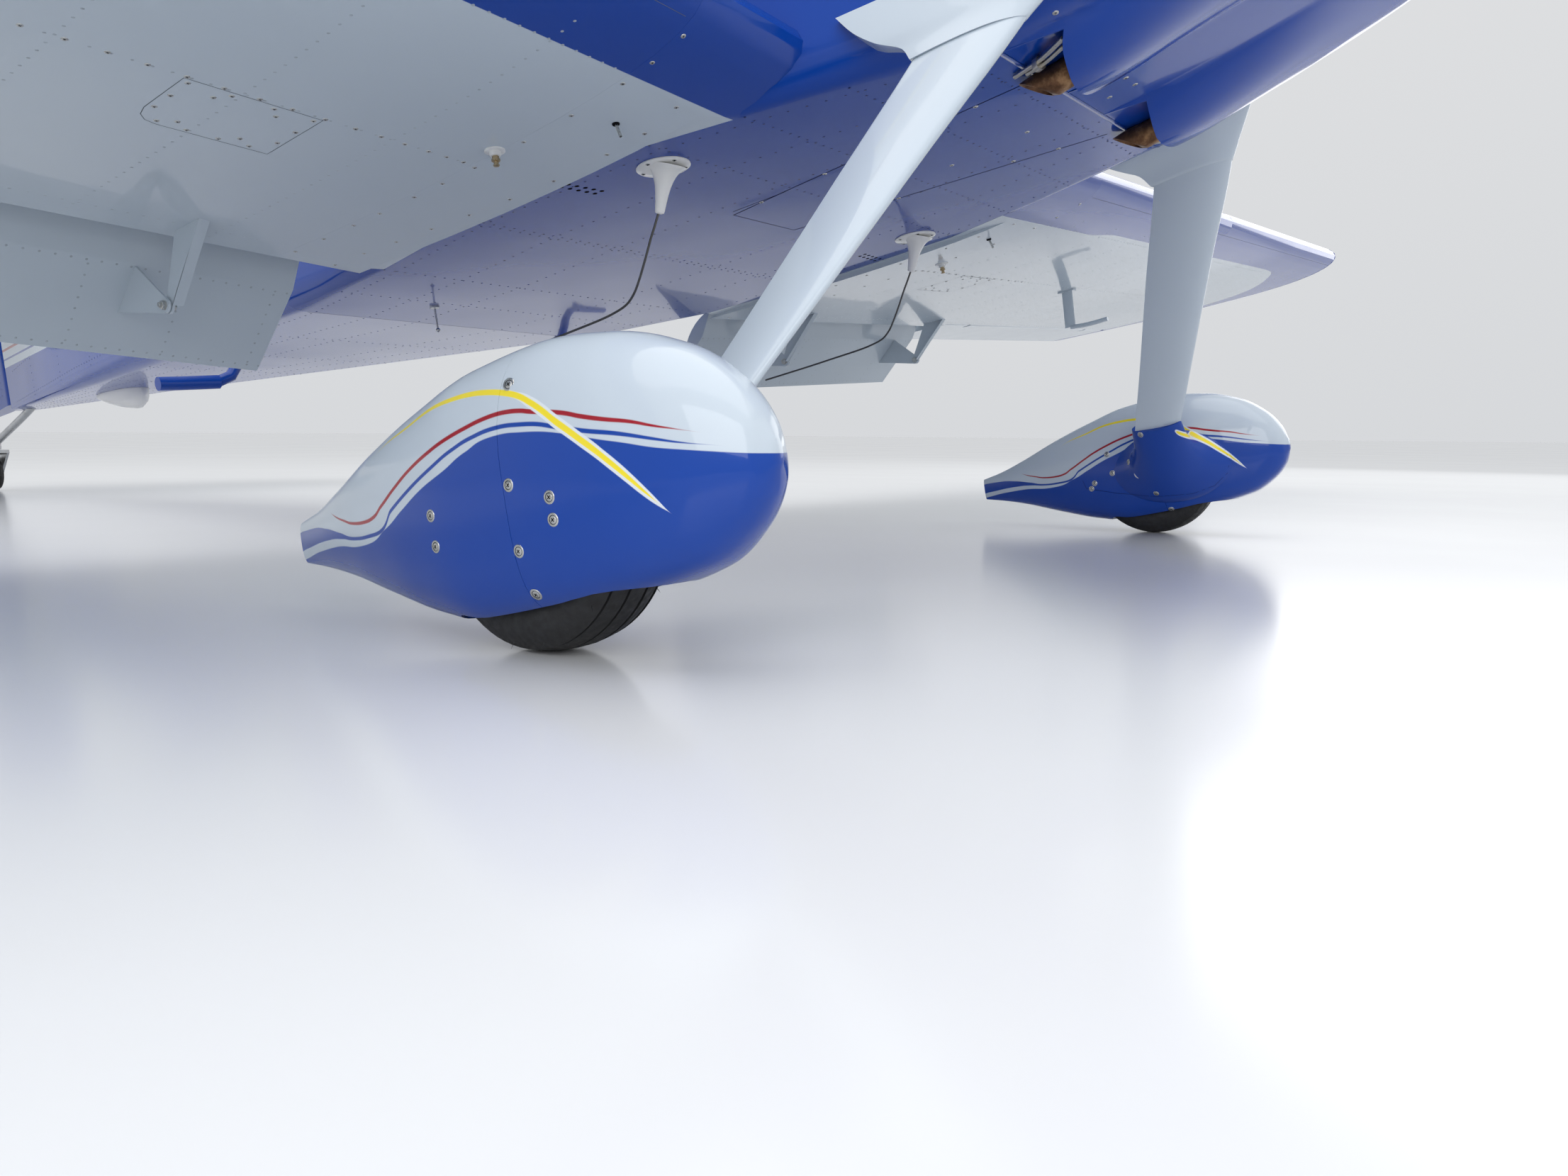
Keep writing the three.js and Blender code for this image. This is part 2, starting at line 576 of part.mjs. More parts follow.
// Cabin tub, deck and screens
function railBox(x, low, high) {
  return [[-900, low], [900, low], [900, high], [-900, high]].map(([y, z]) => point(x, y, z));
}
function makeTub() {
  const stations = BODY.map((row) => row[0]).filter((x) => x <= CABIN.front && x >= CABIN.rear);
  const outside = stations.map((x) => {
    const row = rowAt(BODY, x);
    return frameRing([...row.slice(0, 6), row[5] + 300]);
  });
  const hollow = stations.map((x, i) => {
    const [, flat, side, low, , rail] = rowAt(BODY, x);
    const at = x + (i === 0 ? 10 : i === stations.length - 1 ? -10 : 0);
    const [inner, foot] = [side - CABIN.wall, flat - 6];
    const floorZ = low + CABIN.floor;
    const right = [[foot - 30, floorZ], [inner, floorZ + 60], [inner, rail + 400]];
    const left = [...right].reverse().map(([y, z]) => [-y, z]);
    return [...right, ...left].map(([y, z]) => point(at, y, z));
  });
  const last = stations[stations.length - 1];
  const lids = [stations[0] + 20, ...stations.slice(1, -1), last - 20].map((x) => {
    const rail = rowAt(BODY, x)[5] - GAP;
    return railBox(x, rail, rail + 900);
  });
  return loft(outside).subtract(loft(hollow)).subtract(loft(lids));
}

// An arched skin over the cabin between two stations, above the rail.
function archShell(from, to, wall, lift = 0) {
  const inside = BODY.map((row) => row[0]).filter((x) => x < from && x > to);
  const between = [-60, -140, -480, -880].filter((x) => x < from && x > to);
  const stations = [from, ...between, ...inside, to];
  const ordered = [...new Set(stations)].sort((a, b) => b - a);
  const ring = (x, inset) => {
    const row = rowAt(BODY, x);
    const rail = row[5];
    const above = halfFrame(row, -inset, 1).slice(6);
    return above.map((p) => point(p.x, p.y, p.z + (p.z < rail + 1 ? lift : 0)));
  };
  const arch = (x) => {
    const [outer, inner] = [ring(x, 0), ring(x, wall)];
    const across = (half) => half.map((p) => point(p.x, -p.y, p.z));
    const outside = [...outer, ...across(outer).reverse().slice(1)];
    return [...outside, ...across(inner), ...[...inner].reverse().slice(1)];
  };
  return loft(ordered.map(arch));
}

// The clear part of the canopy in side view: higher at the windscreen's foot, level along the sill.
function glassWindow(shrink) {
  const sill = 1340 + CANOPY.sill + shrink;
  const back = CANOPY.rear + CANOPY.bow + shrink;
  const front = CANOPY.skirt - shrink;
  return plate([[front, 1472 + shrink], [-300, sill], [back, sill], [back, 2100], [front, 2100]], -900, 900);
}

const SEAL = { front: 3, rear: 0.5 }; // from the canopy's edge to the rail
function makeCanopyFrame() {
  const shell = archShell(CANOPY.front, CANOPY.rear, CANOPY.frame).subtract(glassWindow(0));
  return shell.subtract(railCut());
}
// Keeps the canopy's lower edge clear of the rail it closes on.
function railCut() {
  const frontFrame = 20;
  const rings = [CANOPY.front + 10, frontFrame, -250, -700, CANOPY.rear - 10].map((x) => {
    const t = (CANOPY.front - x) / (CANOPY.front - CANOPY.rear);
    const seal = SEAL.front + (SEAL.rear - SEAL.front) * Math.min(Math.max(t, 0), 1);
    const rail = rowAt(BODY, Math.min(x, frontFrame))[5] + seal;
    return railBox(x, rail - 200, rail);
  });
  return loft(rings);
}
function makeCanopyGlass() {
  return archShell(CANOPY.front, CANOPY.rear, CANOPY.glass).intersect(glassWindow(GAP));
}

// Wheel pants
function pantRing([x, low, high, half, round], inset) {
  const middle = (low + high) / 2;
  const [tall, wide] = [Math.max((high - low) / 2 - inset, 1), Math.max(half - inset, 1)];
  return Array.from({ length: PANT_SIDES }, (_, i) => {
    const a = (2 * Math.PI * (i + 0.5)) / PANT_SIDES;
    const [c, s] = [Math.cos(a), Math.sin(a)];
    const swell = (value) => Math.sign(value) * Math.pow(Math.abs(value), s < 0 ? round : 0.88);
    return point(x, WHEEL.track / 2 + wide * swell(c), middle + tall * swell(s));
  });
}
const pantSolid = (inset, rows = PANT) => loft(rows.map((row) => pantRing(row, inset)));

const legRow = (z) => rowAt(LEG, z);
function legRing([z, trailX, trailY, leadX, leadY], grow, tail = 0) {
  const [back, nose] = [point(trailX, trailY, z), point(leadX, leadY, z)];
  const along = back.clone().sub(nose);
  const chord = along.length();
  along.normalize();
  const across = point(-along.y, along.x, 0);
  const place = (f, side) => {
    const half = side * (foilHalf(f, 0.25) * chord + 2 * f + grow * Math.min(1, 4 * f));
    const aft = f * chord + grow * (2 * f - 1) + tail * Math.max(0, (f - 0.38) / 0.62) ** 2;
    return nose.clone().addScaledVector(along, aft).addScaledVector(across, half);
  };
  const stations = [0.04, 0.15, 0.35, 0.65, 0.88, 1];
  const inboard = [...stations].reverse().map((f) => place(f, -1));
  return [place(0, 0), ...stations.map((f) => place(f, 1)), ...inboard];
}
const legLoft = (from, to, grow) => {
  const inside = LEG.map((row) => row[0]).filter((z) => z < from && z > to);
  return loft([from, ...inside, to].map((z) => legRing(legRow(z), grow)));
};

// Axle: from the foot of the leg into the wheel, with the brake disc's carrier on it.
const AXLE = { inner: 1030, outer: 1214, flangeFrom: 1058, flangeTo: 1096, flange: 30 };
const axleBar = (grow) => bar(point(0, AXLE.inner, 0), point(0, AXLE.outer, 0), WHEEL.axle + grow)
  .add(bar(point(0, AXLE.flangeFrom, 0), point(0, AXLE.flangeTo, 0), AXLE.flange + grow));

function makeLeg() {
  return legLoft(700, 0, 0).subtract(fuselageGrown).subtract(cowlGrown).add(axleBar(0));
}

function makePant() {
  const shell = pantSolid(0).subtract(pantSolid(PANT_WALL, PANT.slice(1, -2)));
  const slot = box(PANT_SLOT.back, PANT_SLOT.front, WHEEL.track / 2 - PANT_SLOT.halfWidth,
    WHEEL.track / 2 + PANT_SLOT.halfWidth, -200, -60);
  const legHole = legLoft(300, 0, 4).add(axleBar(4));
  return shell.subtract(slot).subtract(legHole);
}

// Foot fairing: swells from the leg's section to a wide oval against the pant's inboard side.
function ovalRing(centre, along, across, longHalf, shortHalf) {
  return Array.from({ length: 14 }, (_, i) => {
    const a = (2 * Math.PI * i) / 14;
    const onLong = centre.clone().addScaledVector(along, longHalf * Math.cos(a));
    return onLong.addScaledVector(across, shortHalf * Math.sin(a));
  });
}
function makeFoot() {
  const level = point(0, 0.12, 0.99).normalize();
  const rings = [
    ovalRing(point(90, 950, 118), point(1, 0, 0), point(0, 0.8, 0.6), 66, 26),
    ovalRing(point(84, 990, 70), point(1, 0, 0), point(0, 0.62, 0.78), 74, 40),
    ovalRing(point(76, 1040, 34), point(1, 0, -0.04), point(0, 0.3, 0.95), 104, 72),
    ovalRing(point(64, 1090, 12), point(1, 0, -0.06), level, 172, 104),
    ovalRing(point(60, 1130, 8), point(1, 0, -0.06), level, 190, 112),
  ];
  return loft(rings).subtract(pantSolid(-GAP)).subtract(legLoft(LEG[2][0], 0, GAP)).subtract(axleBar(GAP))
    .subtract(box(-300, 500, 1095, 1400, -300, 400));
}

// Root fairing: a collar about the leg's top that runs back to a point along the fuselage.
// Columns: z, how much thicker than the leg, how far its tail runs back
const COLLAR = [
  [630, 4, 0],
  [655, 9, 24],
  [682, 20, 72],
  [715, 34, 112],
  [750, 50, 140],
];
function makeLegCollar() {
  const rings = COLLAR.map(([z, thicker, tail]) => legRing(legRow(z), thicker, tail));
  return loft(rings).subtract(fuselageGrown).subtract(cowlGrown).subtract(legLoft(750, 400, GAP));
}

// Wheels
function ringAbout(profile, sides) {
  return turned([...profile, profile[0]], sides);
}
const tyreProfile = (radius, bead, half) => [
  [bead, -half * 0.62], [radius * 0.74, -half], [radius * 0.92, -half * 0.86], [radius, -half * 0.36],
  [radius, half * 0.36], [radius * 0.92, half * 0.86], [radius * 0.74, half], [bead, half * 0.62],
];
function makeTyre() {
  return ringAbout(tyreProfile(WHEEL.radius, WHEEL.rim, WHEEL.width / 2), 36);
}
function makeRim() {
  const r = WHEEL.rim - GAP;
  return ringAbout([
    [WHEEL.bore, -36], [40, -36], [44, -14], [r - 10, -14], [r - 8, -40], [r, -42],
    [r, 42], [r - 8, 40], [r - 10, 14], [44, 14], [40, 36], [WHEEL.bore, 36],
  ], 18);
}

// Tail gear
function makeSpring() {
  const { swivelX, swivelZ } = TAILWHEEL;
  const run = [point(-4200, 0, 1012), point(-4335, 0, 984), point(swivelX, 0, swivelZ + 5)];
  const rod = tube(run, 15, 12, 10);
  const socket = bar(swivelAt(-16), swivelAt(32), 24);
  const bore = bar(swivelAt(-40), swivelAt(26), 10.6);
  return rod.add(socket).subtract(bore).subtract(fuselageGrown);
}
// A point on the swivel's axis, a given height over its middle.
function swivelAt(height) {
  return point(TAILWHEEL.swivelX + height * SWIVEL_RAKE, 0, TAILWHEEL.swivelZ + height);
}
function makeFork() {
  const { x, z, axle, swivelX, swivelZ } = TAILWHEEL;
  const [front, back] = [swivelX + 30, swivelX - 50];
  const pin = bar(swivelAt(-32), swivelAt(20), 10);
  const crown = plate([
    [front, swivelZ - 24], [back + 14, swivelZ - 21], [back, swivelZ - 32], [front, swivelZ - 38],
  ], -42, 42);
  const side = [
    [front - 2, swivelZ - 24], [back, swivelZ - 24], [x - 14, z - 4], [x, z - 15], [x + 14, z - 4],
    [front - 2, swivelZ - 38],
  ];
  const arm = (y) => plate(side, y - 5, y + 5);
  const hub = bar(point(x, -42, z), point(x, 42, z), axle);
  return pin.add(crown).add(arm(-37)).add(arm(37)).add(hub);
}
function makeTailwheel() {
  const { radius, halfWidth, axle } = TAILWHEEL;
  return ringAbout([
    [axle + 0.6, -halfWidth], [24, -halfWidth * 0.7], [46, -halfWidth * 0.7], [50, -halfWidth],
    [radius * 0.9, -halfWidth], [radius, -halfWidth * 0.45],
    [radius, halfWidth * 0.45], [radius * 0.9, halfWidth],
    [50, halfWidth], [46, halfWidth * 0.7], [24, halfWidth * 0.7], [axle + 0.6, halfWidth],
  ], 22);
}

// Engine bay
function makeCowl() {
  const outer = bodyLoft(COWL, 1270, 352, 0, BELLY_STEPS);
  const rows = COWL.map((row, i) => {
    const inner = [...row];
    if (i === 0) inner[0] = 340;
    if (i === COWL.length - 1) inner[0] = 1256;
    return inner;
  });
  const hollow = loft(rows.map((row) => frameRing(row, -COWL_WALL, BELLY_STEPS)));
  const { halfWidth, halfHeight } = INLET;
  const inlets = [-1, 1].map((side) => loft([1200, 1300].map((x) => {
    const centre = point(x, side * INLET.y, INLET.z);
    return ovalRing(centre, point(0, 1, 0), point(0, 0, 1), halfWidth, halfHeight);
  })));
  const shaft = bar(point(1200, 0, THRUST_Z), point(1300, 0, THRUST_Z), 80);
  const exit = box(300, CHEEK.exitX, -CHEEK.outer - 40, CHEEK.outer + 40, 560, 667.7);
  return outer.subtract(hollow).subtract(inlets[0]).subtract(inlets[1]).subtract(shaft).subtract(exit);
}

// Exhaust pipe: round, turned down and back, with a slanted fish-mouth end.
const PIPE = { y: 229, wall: 3 };
function makePipe() {
  const rows = [
    [[640, ENGINE.low - GAP], [1, 0, 0], 25, 25],
    [[600, 800], [0.85, 0, -0.5], 25, 25],
    [[500, 700], [0.6, 0, -0.8], 25, 25],
    [[400, 650], [0.22, 0, -0.98], 24, 29],
    [[346, 642.5], [0.853, 0, -0.522], 32, 31],
  ];
  const rings = (inset, extend) => rows.map(([[x, z], up, tall, wide], i) => {
    const past = i === rows.length - 1 ? extend : 0;
    const short = i === 0 ? inset : 0;
    const centre = point(x - past, PIPE.y, z - past * 0.2 - short);
    return ovalRing(centre, point(...up).normalize(), point(0, 1, 0), tall - inset, wide - inset);
  });
  return loft(rings(0, 0)).subtract(loft(rings(PIPE.wall, 12)));
}

// The engine as one block, with the four feet that bolt it to the firewall and its propeller shaft.
function makeEngine() {
  const { back, front, half, low, high, shaft, mountY, mountLow, mountHigh, mount } = ENGINE;
  let solid = box(back, front, -half, half, low, high)
    .add(bar(point(front - 10, 0, THRUST_Z), point(PROP.back - GAP, 0, THRUST_Z), shaft));
  for (const y of [-mountY, mountY])
    for (const z of [mountLow, mountHigh])
      solid = solid.add(bar(point(FIREWALL.front + GAP, y, z), point(back + 10, y, z), mount));
  return solid;
}

// Propeller: two twisted blades on a hub, inside the spinner.
const BLADE = [
  [40, 44, 1, 62], [110, 46, 0.95, 62], [175, 96, 0.34, 56], [260, 138, 0.17, 46], [420, 150, 0.12, 34],
  [600, 142, 0.1, 26], [780, 122, 0.085, 21], [900, 92, 0.075, 18], [PROP.radius, 44, 0.07, 17],
];
function makePropeller() {
  const blade = loft(BLADE.map(([r, chord, thickness, pitch]) => Array.from({ length: 12 }, (_, i) => {
    const a = (2 * Math.PI * i) / 12;
    const [u, v] = [(chord / 2) * Math.cos(a), (chord / 2) * thickness * Math.sin(a)];
    const [c, s] = [Math.cos(pitch * DEG), Math.sin(pitch * DEG)];
    return point(PROP.x + u * s + v * c, r, THRUST_Z + u * c - v * s);
  })));
  const turnedBlade = (angle) => moved(blade, (g) =>
    g.translate(0, 0, -THRUST_Z).rotateX(angle).translate(0, 0, THRUST_Z));
  const hub = bar(point(PROP.back, 0, THRUST_Z), point(PROP.x + 60, 0, THRUST_Z), PROP.hub);
  return turnedBlade(PROP.rest).add(turnedBlade(PROP.rest + Math.PI)).add(hub);
}
function makeSpinner() {
  const length = SPINNER.tip - SPINNER.base;
  const shape = (inset) => {
    const curve = Array.from({ length: 7 }, (_, i) => {
      const t = i / 6;
      const radius = (SPINNER.radius - inset) * Math.sqrt(Math.max(1 - t ** 2, 0)) * (1 - 0.12 * t);
      return [radius, (length - 2 * inset) * t + inset];
    });
    return turned([[0, inset], ...curve], 20);
  };
  const stand = (solid) => moved(solid, (g) => g.rotateY(90 * DEG).translate(SPINNER.base, 0, THRUST_Z));
  const cuff = bar(point(0, 40, 0), point(0, 300, 0), SPINNER.bladeHole);
  const hole = (angle) => moved(cuff, (g) => g.rotateX(angle).translate(PROP.x, 0, THRUST_Z));
  const [behind, ahead] = [-20, 20].map((x) => point(SPINNER.base + x, 0, THRUST_Z));
  const shaft = bar(behind, ahead, PROP.hub + GAP);
  return stand(shape(0)).subtract(stand(shape(SPINNER.wall))).subtract(shaft)
    .subtract(hole(PROP.rest)).subtract(hole(PROP.rest + Math.PI));
}

// Cabin fittings
const PANEL = { front: -140, back: -162, low: 1010, shoulder: 1290, arch: 150 };
function makePanel() {
  return loft([PANEL.front, PANEL.back].map((x) => {
    const half = rowAt(BODY, x)[2] - CABIN.wall - GAP;
    const top = Array.from({ length: 9 }, (_, i) => {
      const a = Math.PI * (i / 8);
      return point(x, half * Math.cos(a), PANEL.shoulder + PANEL.arch * Math.sin(a));
    });
    return [point(x, half, PANEL.low), ...top, point(x, -half, PANEL.low)];
  }));
}

// Seat: a cushion on the floor and a reclined back, each beside the centre line.
const SEAT = { inner: 26, outer: 500, front: -560, back: -965, floor: 668 + CABIN.floor };
function makeCushion() {
  const { inner, outer, front, back, floor } = SEAT;
  return plate([
    [back, floor + GAP], [front, floor + GAP], [front, floor + 130],
    [front - 60, floor + 148], [back, floor + 92],
  ], inner, outer);
}
function makeBackrest() {
  const { inner, outer, back, floor } = SEAT;
  const foot = [[back - GAP, floor + GAP], [back - GAP, floor + 90]];
  const upper = [[-1110, 1318], [-1140, 1330], [-1182, 1322], [-1058, floor + GAP]];
  return plate([...foot, ...upper], inner, outer);
}
function makeStick() {
  const y = 262;
  return tube([point(-470, y, SEAT.floor + GAP), point(-470, y, 860), point(-440, y, 1000)], 11, 8, 4)
    .add(tube([point(-442, y, 990), point(-433, y, 1035), point(-430, y, 1085)], 17, 10, 3));
}

// Small fittings
function makeWhip() {
  const foot = 668 - GAP;
  const cone = turned([[0, -88], [9, -86], [14, -40], [22, -18], [38, -4], [40, 8], [0, 8]], 14);
  const flange = turned([[0, -4], [48, -4], [52, 0], [0, 0]], 18);
  const placed = moved(cone, (g) => g.rotateY(21 * DEG).translate(-291, 482, foot))
    .add(moved(flange, (g) => g.translate(-296, 482, foot)))
    .subtract(box(-400, -200, 380, 580, foot, foot + 60));
  const rod = tube([
    point(-322, 483, 590), point(-352, 484, 545), point(-395, 485, 478), point(-437, 486, 440),
    point(-520, 487, 428), point(-680, 489, 421), point(-830, 490, 416),
  ], 2.2, 5, 12);
  return placed.add(rod);
}
function makeStep() {
  const upright = tube([
    point(-1652, 500, 750), point(-1659, 560, 630), point(-1665, 600, 562), point(-1671, 640, 544),
  ], 14, 10, 6);
  const pad = tube([point(-1670, 632, 546), point(-1677, 700, 542), point(-1683, 776, 538)], 17, 12, 3);
  return upright.add(pad).subtract(fuselageGrown);
}
const PITOT = { x: -498, y: 1990, drop: 134, reach: 136 };
function makePitot() {
  const { x, y, drop, reach } = PITOT;
  const base = rise(y) + wingSkin(x, -1);
  const mast = loft([[base - 1, 0], [base - drop, -6]].map(([z, back]) =>
    ovalRing(point(x + back, y, z), point(1, 0, 0), point(0, 1, 0), 20, 6)));
  const low = base - drop;
  const head = tube([point(x - 4, y, low), point(x + 60, y, low - 5), point(x + reach, y, low - 3)], 8, 10, 6);
  const flange = box(x - 30, x + 30, y - 14, y + 14, base - 6, base + 6);
  const skinAbove = span(wholeFoil.map(([u, v]) => [u, v - GAP]), y - 100, y + 100);
  return mast.add(flange).add(head).subtract(skinAbove);
}
// Shallow boat-shaped antenna on the middle line under the tail cone, deepest at its front.
// Columns: x, depth of its keel under the belly, half-width
const BLISTER = [
  [-3290, 30, 8],
  [-3312, 62, 30],
  [-3350, 74, 42],
  [-3440, 64, 46],
  [-3540, 42, 38],
  [-3606, 22, 24],
  [-3636, 8, 8],
];
function makeBlister() {
  const rings = BLISTER.map(([x, depth, half]) => {
    const belly = rowAt(BODY, x)[3];
    const low = Array.from({ length: 9 }, (_, i) => {
      const a = Math.PI * (i / 8);
      return point(x, half * Math.cos(a), belly - 6 - (depth - 6) * Math.pow(Math.sin(a), 0.8));
    });
    return [point(x, half, belly + 6), ...low, point(x, -half, belly + 6)];
  });
  return loft(rings).subtract(fuselageGrown);
}
// Short rod antenna with a ball end, on a foot under the belly.
const ROD = { x: -1313, y: -230, length: 62, radius: 2.5, ball: 6, foot: 12 };
function makeRod() {
  const { x, y, length, radius, ball, foot } = ROD;
  const top = rowAt(BODY, x)[3] + 4;
  const tip = top - 4 - length;
  const shoulder = ball * 0.8;
  const knob = turned([[0, -ball], [shoulder, -ball / 2], [ball, 0], [shoulder, ball / 2], [0, ball]], 10);
  return bar(point(x, y, tip), point(x, y, top), radius, 8)
    .add(bar(point(x, y, top - 10), point(x, y, top), foot, 12))
    .add(moved(knob, (g) => g.translate(x, y, tip)))
    .subtract(fuselageGrown);
}

// Paint and other finishes
const FINISH = {
  blue: { color: 0x1c3f9e, roughness: 0.12, metalness: 0 },
  grey: { color: 0xccd3da, roughness: 0.14, metalness: 0 },
  white: { color: 0xf2f2f0, roughness: 0.3, metalness: 0 },
  black: { color: 0x1b1c20, roughness: 0.5, metalness: 0 },
  glass: { color: 0xaebcc6, roughness: 0.05, metalness: 0, transparent: true, opacity: 0.35 },
  steel: { color: 0x8f959b, roughness: 0.35, metalness: 1 },
  burnt: { color: 0x5c4436, roughness: 0.6, metalness: 0.8 },
  rubber: { color: 0x17181a, roughness: 0.8, metalness: 0 },
  leather: { color: 0x77706a, roughness: 0.7, metalness: 0 },
};
function piece(name, solid, finish) {
  const mesh = new THREE.Mesh(toGeometry(solid), new THREE.MeshStandardMaterial(FINISH[finish]));
  mesh.name = name;
  return mesh;
}

const level = new THREE.Group();
const leftSide = new THREE.Group();
const rightSide = new THREE.Group();
rightSide.scale.y = -1;
level.add(leftSide, rightSide);

// Makes one shape and hangs it on both sides.
function pair(name, solid, finish, shift = [0, 0, 0], turn = [0, 0, 0]) {
  [[leftSide, "left"], [rightSide, "right"]].forEach(([side, which]) => {
    const mesh = piece(name + "_" + which, solid, finish);
    mesh.position.set(...shift);
    mesh.rotation.set(...turn);
    side.add(mesh);
  });
}

// Body
level.add(piece("cabin_tub", makeTub(), "blue"));
level.add(piece("firewall", bodyLoft(BODY, FIREWALL.front, FIREWALL.back), "steel"));
level.add(piece("forward_deck", archShell(344.7, CANOPY.front + 6, 12), "blue"));
level.add(piece("instrument_panel", makePanel(), "black"));
level.add(piece("canopy_frame", makeCanopyFrame(), "blue"));
level.add(piece("canopy_glass", makeCanopyGlass(), "glass"));
const barBack = ROLL_BAR.x - ROLL_BAR.width;
level.add(piece("roll_bar", archShell(ROLL_BAR.x, barBack, ROLL_BAR.depth, GAP), "black"));
level.add(piece("rear_window", archShell(barBack - GAP, CABIN.rear + GAP, CANOPY.glass, GAP), "glass"));
level.add(piece("tail_cone", makeTailCone(), "blue"));

// Engine bay
const cowl = makeCowl();
level.add(piece("cowl_upper", cowl.intersect(box(340, 1300, -600, 600, COWL_SPLIT + GAP, 1500)), "blue"));
level.add(piece("cowl_lower", cowl.intersect(box(352.3, 1300, -600, 600, 500, COWL_SPLIT)), "blue"));
level.add(piece("engine_block", makeEngine(), "steel"));
pair("exhaust_pipe", makePipe(), "burnt");
level.add(piece("propeller", makePropeller(), "black"));
level.add(piece("spinner", makeSpinner(), "white"));

// Wings
pair("wing", makeWing(), "grey");
const underBelly = box(-1300, 300, WING.rootY - 10, 606, 500, 668 + GAP);
const rootPiece = span(flapBay, WING.rootY, WING.seamY).subtract(fuselageGrown).subtract(underBelly);
pair("wing_root_fairing", rootPiece, "grey");
pair("wing_tip", makeTip(), "blue");
pair("aileron", makeAileron(), "grey");
const flap = moved(makeFlap(), (g) => {
  const [x, z] = flapPivot;
  g.translate(-x, 0, -z).rotateX(-WING.dihedral).rotateY(-FLAP.droop);
  return g.rotateX(WING.dihedral).translate(x, 0, z);
});
pair("flap", flap, "grey");

// Tail
level.add(piece("horizontal_stabilizer", makeStabilizer(), "grey"));
level.add(piece("elevators", makeElevators(), "grey"));
level.add(piece("vertical_fin", makeFin(), "blue"));
level.add(piece("rudder", makeRudder(), "blue"));

// Gear
pair("gear_leg", makeLeg(), "grey");
pair("leg_root_fairing", makeLegCollar(), "grey");
pair("leg_foot_fairing", makeFoot(), "blue");
const pant = makePant();
pair("wheel_pant_front", pant.intersect(box(PANT_SEAM_X + GAP, 500, 900, 1500, -300, 400)), "blue");
pair("wheel_pant_rear", pant.intersect(box(-700, PANT_SEAM_X, 900, 1500, -300, 400)), "blue");
const uprightWheel = [90 * DEG, 0, 0];
pair("tyre", makeTyre(), "rubber", [0, WHEEL.track / 2, 0], uprightWheel);
pair("wheel_rim", makeRim(), "steel", [0, WHEEL.track / 2, 0], uprightWheel);
level.add(piece("tail_spring", makeSpring(), "steel"));
level.add(piece("tailwheel_fork", makeFork(), "steel"));
const tailwheel = piece("tailwheel", makeTailwheel(), "rubber");
tailwheel.position.set(TAILWHEEL.x, 0, TAILWHEEL.z);
tailwheel.rotation.set(...uprightWheel);
level.add(tailwheel);

// Fittings
pair("seat_cushion", makeCushion(), "leather");
pair("seat_back", makeBackrest(), "leather");
pair("control_stick", makeStick(), "black");
pair("whip_antenna", makeWhip(), "white");
pair("boarding_step", makeStep(), "blue");
leftSide.add(piece("pitot_tube", makePitot(), "steel"));
level.add(piece("underside_antenna", makeBlister(), "white"));
level.add(piece("rod_antenna", makeRod(), "steel"));

// Parked: nose-up on its wheels, origin on the floor under the middle of its box.
const aircraft = new THREE.Group();
level.rotation.y = -PARKED_NOSE_UP;
level.position.z = WHEEL.radius;
aircraft.add(level);
aircraft.updateMatrixWorld(true);
const bounds = new THREE.Box3().setFromObject(aircraft, true);
level.position.x -= (bounds.min.x + bounds.max.x) / 2;
level.position.z -= bounds.min.z;

export default aircraft;
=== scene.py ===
import math

import bmesh
import bpy
from mathutils import Matrix, Vector
from mathutils.bvhtree import BVHTree


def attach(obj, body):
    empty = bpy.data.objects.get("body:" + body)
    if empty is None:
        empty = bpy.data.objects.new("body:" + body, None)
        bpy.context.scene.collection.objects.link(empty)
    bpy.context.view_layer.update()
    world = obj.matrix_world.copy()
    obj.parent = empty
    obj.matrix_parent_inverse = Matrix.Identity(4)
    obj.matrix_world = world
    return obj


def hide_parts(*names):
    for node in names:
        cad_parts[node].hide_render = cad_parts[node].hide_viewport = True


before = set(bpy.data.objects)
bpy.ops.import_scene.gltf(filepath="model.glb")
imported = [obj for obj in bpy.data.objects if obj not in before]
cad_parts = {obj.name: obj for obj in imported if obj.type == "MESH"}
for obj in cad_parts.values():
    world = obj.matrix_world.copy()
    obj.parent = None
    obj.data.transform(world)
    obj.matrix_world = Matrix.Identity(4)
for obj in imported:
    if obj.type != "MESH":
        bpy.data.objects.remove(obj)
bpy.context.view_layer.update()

# Fuselage skins: cabin tub, forward deck, tail cone.
# Sheet alloy, flush-riveted to frames and longerons, sprayed in blue enamel below and light grey
# above, with coach lines between them under clear coat.
nose_up = math.radians(10.91)
axle_line = (1.8679776, 0, 0.1729782)
parked = Matrix.Translation(axle_line) @ Matrix.Rotation(-nose_up, 4, "Y")
mm = 0.001
blue = (0.003, 0.05, 0.33)
light_grey = (0.53, 0.60, 0.67)
coach_red = (0.33, 0.012, 0.022)
coach_yellow = (0.86, 0.70, 0.03)


def put(tree, kind, sockets=None, **settings):
    """Adds one shader node, sets it up and wires its sockets."""
    node = tree.nodes.new("ShaderNode" + kind)
    for name, value in settings.items():
        setattr(node, name, value)
    for key, value in (sockets or {}).items():
        if isinstance(value, bpy.types.NodeSocket):
            tree.links.new(value, node.inputs[key])
        else:
            node.inputs[key].default_value = (*value, 1) if node.inputs[key].type == "RGBA" else value
    return node


def ranged(tree, value, start, end, low=0.0, high=1.0):
    """A value's way from start to end, as a value from low to high."""
    return put(tree, "MapRange", {0: value, 1: start, 2: end, 3: low, 4: high}).outputs[0]


def object_spot(tree):
    return put(tree, "TexCoord").outputs["Object"]


